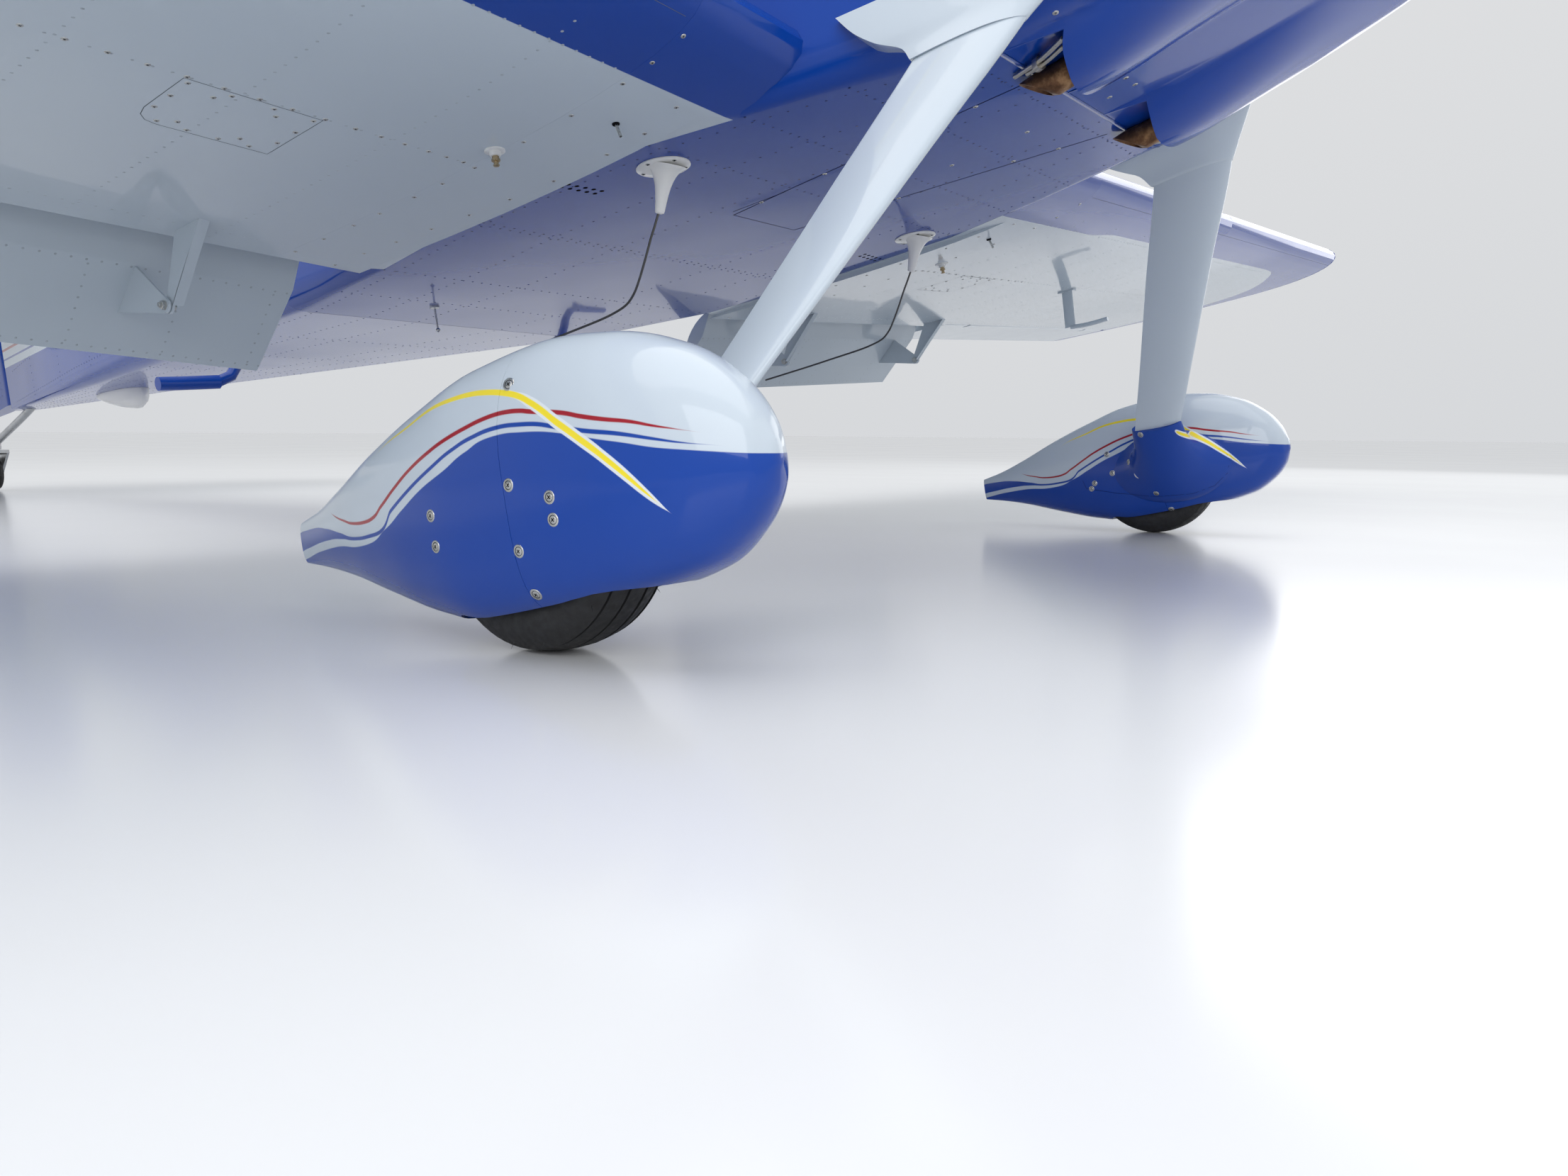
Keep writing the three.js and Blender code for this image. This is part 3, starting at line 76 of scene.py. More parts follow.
def noise(tree, scale, **sockets):
    """Soft noise in the metres of the aircraft, so it goes on from piece to piece."""
    return put(tree, "TexNoise", {"Vector": object_spot(tree), "Scale": scale, **sockets}).outputs[0]


def sums(tree, operation, *values):
    sockets = {i: value for i, value in enumerate(values)}
    return put(tree, "Math", sockets, operation=operation).outputs[0]


def airframe_place(tree):
    """Where a point of paint lies on the level aircraft: forward, left and up of the axles, in mm."""
    level = put(tree, "Mapping", {"Vector": object_spot(tree), "Location": axle_line, "Rotation": (0, -nose_up, 0),
                                  "Scale": (mm, mm, mm)}, vector_type="TEXTURE")
    return put(tree, "SeparateXYZ", {"Vector": level.outputs[0]}).outputs


def drawn_line(tree, along, points):
    """The height of a drawn line at each place along it, from pairs of (along, height)."""
    points = sorted(points)
    first, last = points[0][0], points[-1][0]
    low = min(p[1] for p in points) - 1
    high = max(p[1] for p in points) + 1
    curve = put(tree, "FloatCurve", {"Value": ranged(tree, along, first, last)})
    line = curve.mapping.curves[0]
    knots = [((x - first) / (last - first), (z - low) / (high - low)) for x, z in points]
    line.points[0].location, line.points[1].location = knots[0], knots[-1]
    for knot in knots[1:-1]:
        line.points.new(*knot)
    for knot in line.points:
        knot.handle_type = "AUTO_CLAMPED"
    curve.mapping.update()
    return ranged(tree, curve.outputs[0], 0.0, 1.0, low, high)


def below(tree, height, line, soft=0.6):
    """1 under a drawn line, 0 over it, with a masked edge as sharp as tape leaves."""
    return ranged(tree, sums(tree, "SUBTRACT", line, height), -soft, soft)


def stripe(tree, along, height, centre, widths, soft=0.6):
    """A tapering coach line: its middle, and its half-width square to it, at places along it."""
    centre = sorted(centre)

    def slope(x):
        ahead = next((i for i, p in enumerate(centre) if p[0] >= x), len(centre) - 1)
        a, b = centre[max(ahead - 1, 0)], centre[max(ahead, 1)]
        return (b[1] - a[1]) / (b[0] - a[0])

    tall = [(x, half * math.hypot(1, slope(x))) for x, half in widths]
    middle = drawn_line(tree, along, centre)
    half = drawn_line(tree, along, tall)
    apart = sums(tree, "ABSOLUTE", sums(tree, "SUBTRACT", height, middle))
    return ranged(tree, sums(tree, "SUBTRACT", half, apart), 0.0, 2 * soft)


def masked(tree, under, over, mask):
    return put(tree, "Mix", {0: mask, 6: under, 7: over}, data_type="RGBA").outputs[2]


def clouded(tree, colour, scale, depth):
    """The same colour, a little darker and lighter from place to place."""
    value = ranged(tree, noise(tree, scale, Detail=4.0), 0.3, 0.7, 1 - depth, 1 + depth)
    return put(tree, "HueSaturation", {"Value": value, "Color": colour}).outputs[0]


def spotted(tree, scale, low, high):
    """A number that drifts between two values over the surface."""
    return ranged(tree, noise(tree, scale, Detail=5.0), 0.35, 0.65, low, high)


def blank_finish(name):
    material = bpy.data.materials.new(name)
    material.use_nodes = True
    tree = material.node_tree
    return material, tree, tree.nodes["Principled BSDF"]


def bumped(tree, skin, height, strength, distance, over=None):
    """A bump on the surface, on top of another one where there is one."""
    sockets = {"Height": height, "Strength": strength, "Distance": distance}
    if over:
        sockets["Normal"] = over
    bump = put(tree, "Bump", sockets).outputs[0]
    tree.links.new(bump, skin.inputs["Normal"])
    return bump


def coated(name, colour, cloud, rough, bumps=(), looks=None):
    """A finish whose colour and roughness drift over the surface: cloud is (scale, depth), rough is
    (scale, low, high), and each bump is (noise scale, its detail, strength, distance)."""
    material, tree, skin = blank_finish(name)
    base = colour(tree, *airframe_place(tree)) if callable(colour) else colour
    tree.links.new(clouded(tree, base, *cloud) if cloud else base, skin.inputs["Base Color"])
    tree.links.new(spotted(tree, *rough), skin.inputs["Roughness"])
    bump = None
    for scale, detail, strength, distance in bumps:
        bump = bumped(tree, skin, noise(tree, scale, Detail=detail), strength, distance, bump)
    if bump:
        tree.links.new(bump, skin.inputs["Coat Normal"])
    for socket, value in (looks or {}).items():
        skin.inputs[socket].default_value = value
    return material


def enamel(name, colour, panel_waves=0.0048):
    """Sprayed enamel under clear coat. The thin sheet under it is never quite flat."""
    return coated(name, colour, (1.5, 0.02), (2.0, 0.2, 0.26),
                  [(3.2, 1.0, 0.5, panel_waves), (420.0, 2.0, 0.06, 0.0002)],
                  {"Specular IOR Level": 0.1, "Coat Weight": 0.6, "Coat Roughness": 0.03})


side_blue_top = [(-4400, 1198), (-3700, 1119), (-3000, 1040), (-2300, 968), (-1500, 905), (-700, 885),
                 (0, 925), (345, 972), (700, 1022), (1280, 1090)]


def side_livery(tree, along, across, height):
    def lift(rise):
        return [(x, z + rise) for x, z in side_blue_top]

    colour = masked(tree, light_grey, coach_yellow, stripe(
        tree, along, height, [(-4300, 1420), (-3300, 1268), (-2300, 1108), (-1300, 985), (-700, 948), (0, 930),
                              (500, 890), (900, 800)],
        [(-4300, 4), (-2300, 11), (0, 11), (500, 8), (900, 0)]))
    colour = masked(tree, colour, coach_red, stripe(
        tree, along, height, lift(72), [(-4400, 5), (-2300, 8), (0, 8), (900, 5), (1280, 0)]))
    colour = masked(tree, colour, blue, stripe(
        tree, along, height, lift(33), [(-4400, 4), (-2300, 6), (345, 6), (1280, 2)]))
    colour = masked(tree, colour, blue, below(tree, height, drawn_line(tree, along, side_blue_top)))
    return masked(tree, colour, coach_yellow, stripe(
        tree, along, height, [(-300, 938), (0, 930), (300, 910), (500, 890), (700, 852), (900, 800)],
        [(-300, 0), (0, 11), (300, 10), (500, 8), (900, 0)]))


enamel_side = enamel("enamel_side_livery", side_livery)
enamel_blue = enamel("enamel_blue", blue)
enamel_grey = enamel("enamel_light_grey", light_grey)


def placed(name, data):
    thing = bpy.data.objects.new(name, data)
    bpy.context.scene.collection.objects.link(thing)
    return thing


def own(name, mesh, material, body="airframe", *stands_for):
    """Makes a mesh a piece of the aircraft that rides on a body."""
    piece = placed(name, mesh)
    for finish in material if isinstance(material, (list, tuple)) else [material]:
        piece.data.materials.append(finish)
    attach(piece, body)
    if stands_for:
        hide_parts(*stands_for)
    return piece


def smooth(mesh, angle=32):
    """Leads light evenly over a mesh, but for edges sharper than an angle in degrees."""
    mesh.shade_smooth()
    mesh.set_sharp_from_angle(angle=math.radians(angle))
    return mesh


def faired(node, name, material, body="airframe", angle=32):
    """The node's own surface as one sweep: its facets joined, and light led over them evenly."""
    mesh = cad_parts[node].data.copy()
    mesh.name = name
    if "custom_normal" in mesh.attributes:
        mesh.attributes.remove(mesh.attributes["custom_normal"])
    joined = bmesh.new()
    joined.from_mesh(mesh)
    bmesh.ops.remove_doubles(joined, verts=joined.verts, dist=0.00002)
    joined.to_mesh(mesh)
    joined.free()
    mesh.materials.clear()
    smooth(mesh, angle)
    piece = own(name, mesh, material, body, node)
    piece.modifiers.new("even light", "WEIGHTED_NORMAL").keep_sharp = True
    return piece


tub_skin = faired("cabin_tub", "tub_skin", enamel_side, angle=40)
tail_skin = faired("tail_cone", "tail_cone_skin", enamel_side, angle=40)
deck_skin = faired("forward_deck", "forward_deck_skin", enamel_side)

# Rivets, seams and vents of the fuselage: flush rivets along every frame, stringer and longeron, laps
# between sheets, and two rows of drilled vent holes on each side of the belly. Grey trim lines the cabin.
# Columns: x, half-width of the flat belly, half-width, height of the belly, corner's height, rail, crown
hull_frames = [(345, 395, 480, 668, 85, 1120, 1345), (20, 510, 570, 668, 60, 1300, 1425),
               (-250, 585, 614, 668, 40, 1335, 1620), (-700, 600, 618, 668, 34, 1340, 1785),
               (-1060, 560, 600, 668, 40, 1340, 1765), (-1500, 480, 545, 692, 55, 1335, 1655),
               (-2300, 335, 410, 782, 60, 1322, 1535), (-3300, 165, 225, 897, 48, 1300, 1425),
               (-4330, 22, 38, 1012, 12, 1285, 1375)]
both_sides = ((1, "left"), (-1, "right"))
up, down = (0, 0, 1), (0, 0, -1)
inward = {1: (0, -1, 0), -1: (0, 1, 0)}
# Where a path of a seam starts from: under the belly, beside the body and over it
under, beside, over = 400, 900, 1600


def straight_row(table, x):
    """A row of a table read on straight lines between its own rows."""
    rows = sorted(table)
    ahead = min(max(sum(row[0] < x for row in rows), 1), len(rows) - 1)
    a, b = rows[ahead - 1], rows[ahead]
    t = (x - a[0]) / (b[0] - a[0])
    return tuple(p + t * (q - p) for p, q in zip(a, b))


def outside_of(*pieces):
    """The outside of finished pieces, to set fasteners and seams on."""
    corners, faces = [], []
    for piece in pieces:
        start = len(corners)
        corners += [v.co.copy() for v in piece.data.vertices]
        faces += [[start + i for i in face.vertices] for face in piece.data.polygons]
    return BVHTree.FromPolygons(corners, faces)


def stood(point):
    """Where a point of the level aircraft, in mm, is on the parked one."""
    return parked @ (Vector(point) * mm)


def levelled(point):
    """Where a point of the parked aircraft is on the level one, in mm."""
    return parked.inverted() @ point * 1000


def heading(way):
    """A direction of the level aircraft, as the parked one has it."""
    return parked.to_3x3() @ Vector(way)


def landing(skin, start, way):
    """Where a straight line in the level frame first meets a skin, and the way out of it there."""
    ray = heading(way).normalized()
    spot, out, _, _ = skin.ray_cast(stood(start), ray)
    if spot is None:
        return None
    return spot, out if out.dot(ray) < 0 else -out


def landings(skin, starts, way):
    return [spot for spot in (landing(skin, start, way) for start in starts) if spot]


def from_below(skin, places, side=1, start=under):
    """Landings straight over (forward, out) places of one side."""
    return landings(skin, [(x, side * y, start) for x, y in places], up)


def from_above(skin, places, side=1, start=over):
    return landings(skin, [(x, side * y, start) for x, y in places], down)


def from_beside(skin, places, side, start=beside):
    """Landings square to the middle plane, from outside a side, at (forward, up) places."""
    return landings(skin, [(x, side * start, z) for x, z in places], inward[side])


def spaced(a, b, pitch):
    """Places from one point to another, evenly pitched."""
    a, b = Vector(a), Vector(b)
    count = max(round((b - a).length / pitch), 1)
    return [a + (b - a) * i / count for i in range(count + 1)]


def oval(centre, along, across, long_half, short_half, sides=48):
    along, across = Vector(along).normalized(), Vector(across).normalized()
    turn = [2 * math.pi * i / sides for i in range(sides)]
    return [Vector(centre) + along * long_half * math.cos(a) + across * short_half * math.sin(a) for a in turn]


def finished_mesh(name, made):
    mesh = bpy.data.meshes.new(name)
    made.to_mesh(mesh)
    made.free()
    return mesh


def heads(name, spots, profile, sides, finish, body="airframe", cross=None, groove=None):
    """Rivet or screw heads as one piece, turned from (radius, height) in mm. A cross recess is (half-length,
    half-width, height), and a groove is the number of the step of the profile; both take the second finish, as
    painted shade."""
    pressed = bmesh.new()
    for spot, out in spots:
        side = out.orthogonal().normalized()
        other = out.cross(side)
        rings = [[pressed.verts.new(p) for p in oval(spot + out * height * mm, side, other, radius * mm,
                                                     radius * mm, sides if radius else 1)]
                 for radius, height in profile]
        for step, (outer, inner) in enumerate(zip(rings, rings[1:])):
            for i in range(sides):
                j = (i + 1) % sides
                top = [inner[0]] if len(inner) == 1 else [inner[j], inner[i]]
                face = pressed.faces.new([outer[i], outer[j], *top])
                face.material_index = int(step == groove)
        for a, b in ((side, other), (other, side)) if cross else ():
            long, wide, height = cross
            quad = [spot + (a * u * long + b * v * wide + out * height) * mm
                    for u, v in ((-1, -1), (1, -1), (1, 1), (-1, 1))]
            recess = pressed.faces.new([pressed.verts.new(p) for p in quad])
            recess.material_index = 1
    mesh = finished_mesh(name, pressed)
    mesh.shade_smooth()
    return own(name, mesh, finish, body)


seam_step = 14


def seam(name, skin, path, way, finish, width=1.2, body="airframe", lift=0.15):
    """A dark line of painted shade in the gap where two sheets meet, laid along a path in the level frame, in mm."""
    starts = [p for a, b in zip(path, path[1:]) for p in spaced(a, b, seam_step)[:-1]] + [Vector(path[-1])]
    run = landings(skin, starts, way)
    laid = bmesh.new()
    sides = []
    for i, (spot, out) in enumerate(run):
        along = (run[min(i + 1, len(run) - 1)][0] - run[max(i - 1, 0)][0]).normalized()
        across = out.cross(along) * width / 2 * mm
        sides.append([laid.verts.new(spot + across * k + out * lift * mm) for k in (-1, 1)])
    for a, b in zip(sides, sides[1:]):
        laid.faces.new((a[0], a[1], b[1], b[0]))
    return own(name, finished_mesh(name, laid), finish, body)


def plain_coat(name, colour, rough_low, rough_high, metallic=0.0, shine=0.5):
    return coated(name, colour, (60.0, 0.15), (120.0, rough_low, rough_high),
                  looks={"Metallic": metallic, "Specular IOR Level": shine})


# Flush rivet heads sit under the same enamel as the skin; they are drawn darker than it, as painted shade round each
# head.
rivet_blue_painted_shade = plain_coat("rivets_blue_painted_shade", (0.004, 0.018, 0.11), 0.35, 0.5, shine=0.12)
rivet_grey_painted_shade = plain_coat("rivets_grey_painted_shade", (0.36, 0.41, 0.46), 0.3, 0.45)
seam_shadow = plain_coat("seam_shadow", (0.004, 0.007, 0.03), 0.8, 0.95, shine=0.0)
screw_steel = plain_coat("screw_steel", (0.55, 0.55, 0.53), 0.22, 0.4, 1.0)
# Black for the rubber grommets of the tank vents, and painted shade in screw recesses, screw grooves and the drilled
# vent holes.
black_and_recess_shade = plain_coat("black_and_recess_shade", (0.01, 0.01, 0.012), 0.5, 0.7, shine=0.0)
screw_finish = [screw_steel, black_and_recess_shade]
flush_rivet = [(2.6, 0.0), (2.2, 0.22), (0, 0.3)]
lining_end, lining_floor, lining_gap = -1495, 715, 12
wing_top, wing_end = 830, -1360
hull = outside_of(tub_skin, tail_skin)
cabin_trim = plain_coat("cabin_trim", (0.17, 0.18, 0.2), 0.55, 0.75)
tub_skin.data.materials.append(cabin_trim)
for face in tub_skin.data.polygons:
    middle = levelled(face.center)
    half = straight_row(hull_frames, middle.x)[2]
    face.material_index = int(abs(middle.y) < half - lining_gap and middle.z > lining_floor
                              and middle.x > lining_end)

frame_pitch, stringer_pitch = 27, 33
stringer_ends = (330, 0, 0), (-4200, 0, 0)
belly_places = []
for x in (300, 120, -60, -240, -708, -722, -1060, -1280, -1500, -1900, -2300, -2700, -3100, -3500, -3900):
    flat = straight_row(hull_frames, x)[1]
    belly_places += [(p.x, p.y) for p in spaced((x, -flat, 0), (x, flat, 0), frame_pitch)]
for share in (-0.94, -0.62, -0.3, 0.3, 0.62, 0.94):
    belly_places += [(p.x, share * straight_row(hull_frames, p.x)[1]) for p in spaced(*stringer_ends, stringer_pitch)]
heads("belly_rivets", from_below(hull, belly_places), flush_rivet, 8, rivet_blue_painted_shade)
for side, which in both_sides:
    starts = []
    for x in (300, 60, -180, -440, -700, -960, -1220, -1490, -1512, -1900, -2300, -2700, -3100, -3500, -3900):
        row = straight_row(hull_frames, x)
        low = max(row[3] + row[4], wing_top if x > wing_end else 0)
        starts += spaced((x, side * beside, low), (x, side * beside, row[5] - 16), 28)
    for share in (0.04, 0.5, 0.95):
        for p in spaced(*stringer_ends, stringer_pitch):
            row = straight_row(hull_frames, p.x)
            low = row[3] + row[4]
            z = low + (row[5] - low) * share
            if z > wing_top or p.x < wing_end:
                starts.append((p.x, side * beside, z))
    blue_spots, grey_spots = [], []
    for start in starts:
        spot = landing(hull, start, inward[side])
        if spot:
            in_blue = start[2] < straight_row(side_blue_top, start[0])[1]
            (blue_spots if in_blue else grey_spots).append(spot)
    heads("side_rivets_low_" + which, blue_spots, flush_rivet, 8, rivet_blue_painted_shade)
    heads("side_rivets_high_" + which, grey_spots, flush_rivet, 8, rivet_grey_painted_shade)
    # The drilled vent holes are black discs on the skin: painted shade inside each hole.
    vents = [(-452 - 17 * row - 1.5 * k, 489 + 21 * (k + row * 0.1)) for row in range(2) for k in range(6)]
    heads("belly_vent_holes_" + which, from_below(hull, vents, side), [(4.8, 0.15), (0, 0.2)], 16, black_and_recess_shade)
    belly_lap, edge_lap, panel_edge = ([(x, side * y, under) for x, y in line] for line in (
        ((-403, 135), (-261, 135)), ((-695, 585), (-587, 604), (-476, 600)), ((-417, 115), (-222, 143), (314, 208))))
    tail_lap = [(-1502, side * beside, z) for z in (745, 900, 1100, 1330)]
    for name, path, way, width in (("belly_lap_", belly_lap, up, 2), ("belly_edge_lap_", edge_lap, up, 2.5),
                                   ("tail_lap_", tail_lap, inward[side], 1.2),
                                   ("belly_panel_edge_", panel_edge, up, 3)):
        seam(name + which, hull, path, way, seam_shadow, width)
seam("belly_panel_back", hull, [(-417, -115, under), (-417, 115, under)], up, seam_shadow, 1.6)
seam("belly_lap_aft", hull, [(-1502, -470, under), (-1502, 470, under)], up, seam_shadow)
belly_screws = [(214, 192), (214, -192), (216, 30), (30, 64), (30, -64), (120, 172), (120, -172),
                (-150, 150), (-150, -150), (-330, 128), (-330, -128)]
heads("belly_panel_screws", from_below(hull, belly_screws),
      [(5.0, 0.0), (4.8, 0.7), (3.6, 1.3), (0, 1.5)], 16, screw_finish, cross=(2.6, 0.5, 1.56))

# Firewall: one sheet of stainless steel behind the engine, its edge joggled under the cowl.
# Left bare, with the faint brushing of the rolled sheet.


def bare_metal(name, colour, rough, scale=(40, 40, 900), depth=0.0002):
    material, tree, metal = blank_finish(name)
    metal.inputs["Metallic"].default_value = 1.0
    stretched = put(tree, "Mapping", {"Vector": object_spot(tree), "Scale": scale}).outputs[0]
    grain = put(tree, "TexNoise", {"Vector": stretched, "Scale": 1.0, "Detail": 3.0}).outputs[0]
    tree.links.new(clouded(tree, colour, 20.0, 0.12), metal.inputs["Base Color"])
    tree.links.new(ranged(tree, grain, 0.3, 0.7, rough * 0.7, rough * 1.3), metal.inputs["Roughness"])
    bumped(tree, metal, grain, 0.2, depth)
    return material


stainless = bare_metal("stainless_sheet", (0.52, 0.53, 0.54), 0.34)
faired("firewall", "firewall_sheet", stainless)

# Cowl: two glass-fibre shells in the body's paint, split level with the propeller and held by screws.
# Two cheeks bulge under the belly where cooling air and the exhausts come out.
belly_up = 668
# Columns: those of the fuselage's frames, and the depth of the cheeks
cowl_frames = [
    (352, 395, 480, 668, 85, 1120, 1345, 62), (440, 390, 482, 676, 92, 1120, 1350, 60),
    (600, 362, 480, 700, 110, 1120, 1352, 36), (850, 310, 458, 754, 145, 1116, 1338, 0),
    (1100, 232, 410, 836, 165, 1105, 1308, 0), (1270, 150, 335, 935, 150, 1092, 1255, 0),
]
cheek_inner, cheek_outer = 90, 372
# The outlets' rear lip, seen from below: distance out from the middle, and x
outlet_lip = [(60, 442), (100, 433), (140, 425), (180, 418.5), (212, 418), (245, 421), (274, 425), (296, 430),
              (318, 435), (336, 440), (349, 446), (372, 462), (412, 490)]
cowl_split = 1100
cowl_wall = 4
split_gap = 0.3
belly_steps, corner_steps, wall_steps, crown_steps = 36, 10, 4, 24


def eased(table, steps):
    """Rows between the rows of a table, on a curve through them that never overshoots."""
    table = sorted(table)
    xs = [row[0] for row in table]
    slopes = []
    for column in range(len(table[0])):
        values = [row[column] for row in table]
        chords = [(values[i + 1] - values[i]) / (xs[i + 1] - xs[i]) for i in range(len(xs) - 1)]
        slope = [chords[0]]
        for a, b in zip(chords, chords[1:]):
            slope.append(0 if a * b <= 0 else 2 * a * b / (a + b))
        slopes.append(slope + [chords[-1]])
    rows = []
    for i in range(len(xs) - 1):
        gap = xs[i + 1] - xs[i]
        for k in range(steps):
            t = k / steps
            h = (2 * t ** 3 - 3 * t ** 2 + 1, t ** 3 - 2 * t ** 2 + t, 3 * t ** 2 - 2 * t ** 3, t ** 3 - t ** 2)
            rows.append(tuple(
                h[0] * table[i][c] + h[1] * gap * slopes[c][i] + h[2] * table[i + 1][c]
                + h[3] * gap * slopes[c][i + 1] for c in range(len(table[0]))))
    return rows + [table[-1]]


def skinned(made, rings, ends="capped"):
    """Adds a skin through rings of points. Its ends are capped, open or joined to each other."""
    rows = [[made.verts.new(p) for p in ring] for ring in rings]
    for front, back in zip(rows, rows[1:] + rows[:1] if ends == "joined" else rows[1:]):
        for j in range(len(front)):
            k = (j + 1) % len(front)
            made.faces.new((front[j], front[k], back[k], back[j]))
    if ends == "capped":
        made.faces.new(rows[0][::-1])
        made.faces.new(rows[-1])


def skin_mesh(name, rings, angle=None, ends="capped"):
    made = bmesh.new()
    skinned(made, rings, ends)
    bmesh.ops.recalc_face_normals(made, faces=made.faces)
    mesh = finished_mesh(name, made)
    return smooth(mesh, angle) if angle else mesh


def lofted(name, rings, *how):
    """A skin through rings of level points in mm, as a mesh where the aircraft stands."""
    return skin_mesh(name, [[stood(p) for p in ring] for ring in rings], *how)


def cut(mesh, *cutters, how="DIFFERENCE"):
    """Cuts other closed meshes out of one, and returns what is left."""
    for cutter in cutters:
        body, tool = placed("body", mesh), placed("tool", cutter)
        step = body.modifiers.new("cut", "BOOLEAN")
        step.object, step.operation, step.solver = tool, how, "EXACT"
        done = body.evaluated_get(bpy.context.evaluated_depsgraph_get())
        left = bpy.data.meshes.new_from_object(done)
        left.name = mesh.name
        bpy.data.objects.remove(body)
        bpy.data.objects.remove(tool)
        mesh = left
    return mesh


def block(x0, x1, y0, y1, z0, z1):
    return lofted("block", [[(x, y0, z0), (x, y1, z0), (x, y1, z1), (x, y0, z1)] for x in (x0, x1)])


def cowl_ring(row, grow=0):
    """One frame of the cowl, from the middle of the belly round to the crown and back."""
    x, flat, side, low, corner, rail, crown, cheek = row
    half = []
    for i in range(belly_steps + 1):
        y = flat * i / belly_steps
        across = (y - cheek_inner) / (cheek_outer - cheek_inner)
        drop = cheek * math.sin(math.pi * across) ** 0.7 if 0 < across < 1 else 0
        half.append((y, low - grow - drop))
    for i in range(1, corner_steps + 1):
        a = math.pi / 2 * i / corner_steps
        half.append((flat + (side + grow - flat) * math.sin(a), low + corner - (corner + grow) * math.cos(a)))
    half += [(side + grow, low + corner + (rail - low - corner) * k / wall_steps)
             for k in range(1, wall_steps + 1)]
    for i in range(1, crown_steps + 1):
        a = math.pi / 2 * i / crown_steps
        half.append(((side + grow) * max(math.cos(a), 0) ** 0.9, rail + (crown + grow - rail) * math.sin(a) ** 0.95))
    half[-1] = (0, half[-1][1])
    return [(x, y, z) for y, z in half] + [(x, -y, z) for y, z in half[-2:0:-1]]


cowl_rows = eased(cowl_frames, 6)
cowl_outer = lofted("cowl", [cowl_ring(row) for row in cowl_rows])
inner_rows = [list(row) for row in cowl_rows]
inner_rows[0][0], inner_rows[-1][0] = 340, 1256
cowl_hollow = lofted("hollow", [cowl_ring(row, -cowl_wall) for row in inner_rows])


def nose_hole(y, z, wide, tall):
    return lofted("hole", [oval((x, y, z), (0, 1, 0), (0, 0, 1), wide, tall) for x in (1200, 1300)])


inlet_out, inlet_up, inlet_wide, inlet_tall = 214, 1120, 92, 56
inlets = [nose_hole(side * inlet_out, inlet_up, inlet_wide, inlet_tall) for side in (-1, 1)]
shaft_hole = nose_hole(0, cowl_split, 80, 80)
lip_edge = [(x, -y) for y, x in outlet_lip[::-1]] + [(x, y) for y, x in outlet_lip]
cheek_exit_cut = lofted("exit", [[(x, y, z) for x, y in lip_edge] + [(300, 412, z), (300, -412, z)]
                                 for z in (560, belly_up - 0.3)])
cowl_shell = cut(cowl_outer, cowl_hollow, *inlets, shaft_hole, cheek_exit_cut)
lower_shell = cut(cowl_shell.copy(), block(352.3, 1300, -600, 600, 500, cowl_split), how="INTERSECT")
upper_shell = cut(cowl_shell, block(340, 1300, -600, 600, cowl_split + split_gap, 1500), how="INTERSECT")
cowl_lower = own("cowl_lower_shell", lower_shell, enamel_side, "airframe", "cowl_lower")
cowl_upper = own("cowl_upper_shell", upper_shell, enamel_side, "airframe", "cowl_upper")
for shell in (cowl_lower, cowl_upper):
    smooth(shell.data, 35)
# The belly sheet turns up into each outlet. Columns: x and height of its curve
outlet_ramp = [(345.5, 668.2), (380, 670), (410, 674), (440, 682), (470, 694), (510, 716), (560, 756), (600, 800)]
for side, which in both_sides:
    ramp = lofted("outlet_ramp", [[(x, side * y, z + t) for y, t in ((84, 0), (378, 0), (378, 1.2), (84, 1.2))]
                                  for x, z in outlet_ramp], 40)
    own("outlet_ramp_" + which, ramp, enamel_blue)
lip_row = (*straight_row(hull_frames, 345), 0)
lap = lofted("cowl_lap", [cowl_ring((x, *lip_row[1:]), grow)
                          for x, grow in ((343.6, 0.1), (344, 0.6), (352.6, 0.6))], 60, "open")
own("cowl_lap_strip", lap, enamel_side)
lip_wide, lip_tall = inlet_wide + 1, inlet_tall + 1
for side, which in both_sides:
    sections = []
    for a in (2 * math.pi * i / 56 for i in range(56)):
        middle = (1267, side * inlet_out + lip_wide * math.cos(a), inlet_up + lip_tall * math.sin(a))
        sections.append(oval(middle, (0, lip_tall * math.cos(a), lip_wide * math.sin(a)), (1, 0, 0), 7, 6, 14))
    own("inlet_lip_" + which, lofted("inlet_lip", sections, 60, "joined"), enamel_side)
cowl_skin = outside_of(cowl_lower)
lip_screws = [(391, 16), (442, -36), (442, 13), (391, -50)]
cowl_screw = [(5.2, 0.0), (5.0, 0.4), (3.8, 0.8), (0, 0.9)]
cowl_cross = (2.4, 0.5, 0.95)
split_screws, edge_screws = range(380, 1230, 106), range(800, 1090, 70)
cowl_spots = from_below(cowl_skin, lip_screws + [(461, -403), (461, 403)], start=500)
upper_skin = outside_of(cowl_upper)
upper_spots = []
for side in (-1, 1):
    cowl_spots += from_beside(cowl_skin, [(x, cowl_split - 16) for x in split_screws], side)
    cowl_spots += from_beside(cowl_skin, [(364, z) for z in edge_screws], side)
    upper_spots += from_beside(upper_skin, [(x, cowl_split + 16) for x in split_screws], side)
upper_spots += from_above(upper_skin, [(364, y) for y in range(-420, 421, 84)])
heads("cowl_screws_lower", cowl_spots, cowl_screw, 16, screw_finish, cross=cowl_cross)
heads("cowl_screws_upper", upper_spots, cowl_screw, 16, screw_finish, cross=cowl_cross)
door = [(700, 90), (700, 236), (712, 250), (858, 250), (870, 236), (870, 90), (858, 76), (712, 76), (700, 90)]
seam("oil_door_gap", upper_skin, [(x, -y, over) for x, y in door], down, seam_shadow, 2.2)
heads("oil_door_buttons", from_above(upper_skin, [(730, -232), (840, -232)]),
      [(9, 0), (9, 0.8), (8, 1.2), (5, 0.7), (0, 0.7)], 24, screw_finish, cross=(5, 0.9, 0.8))

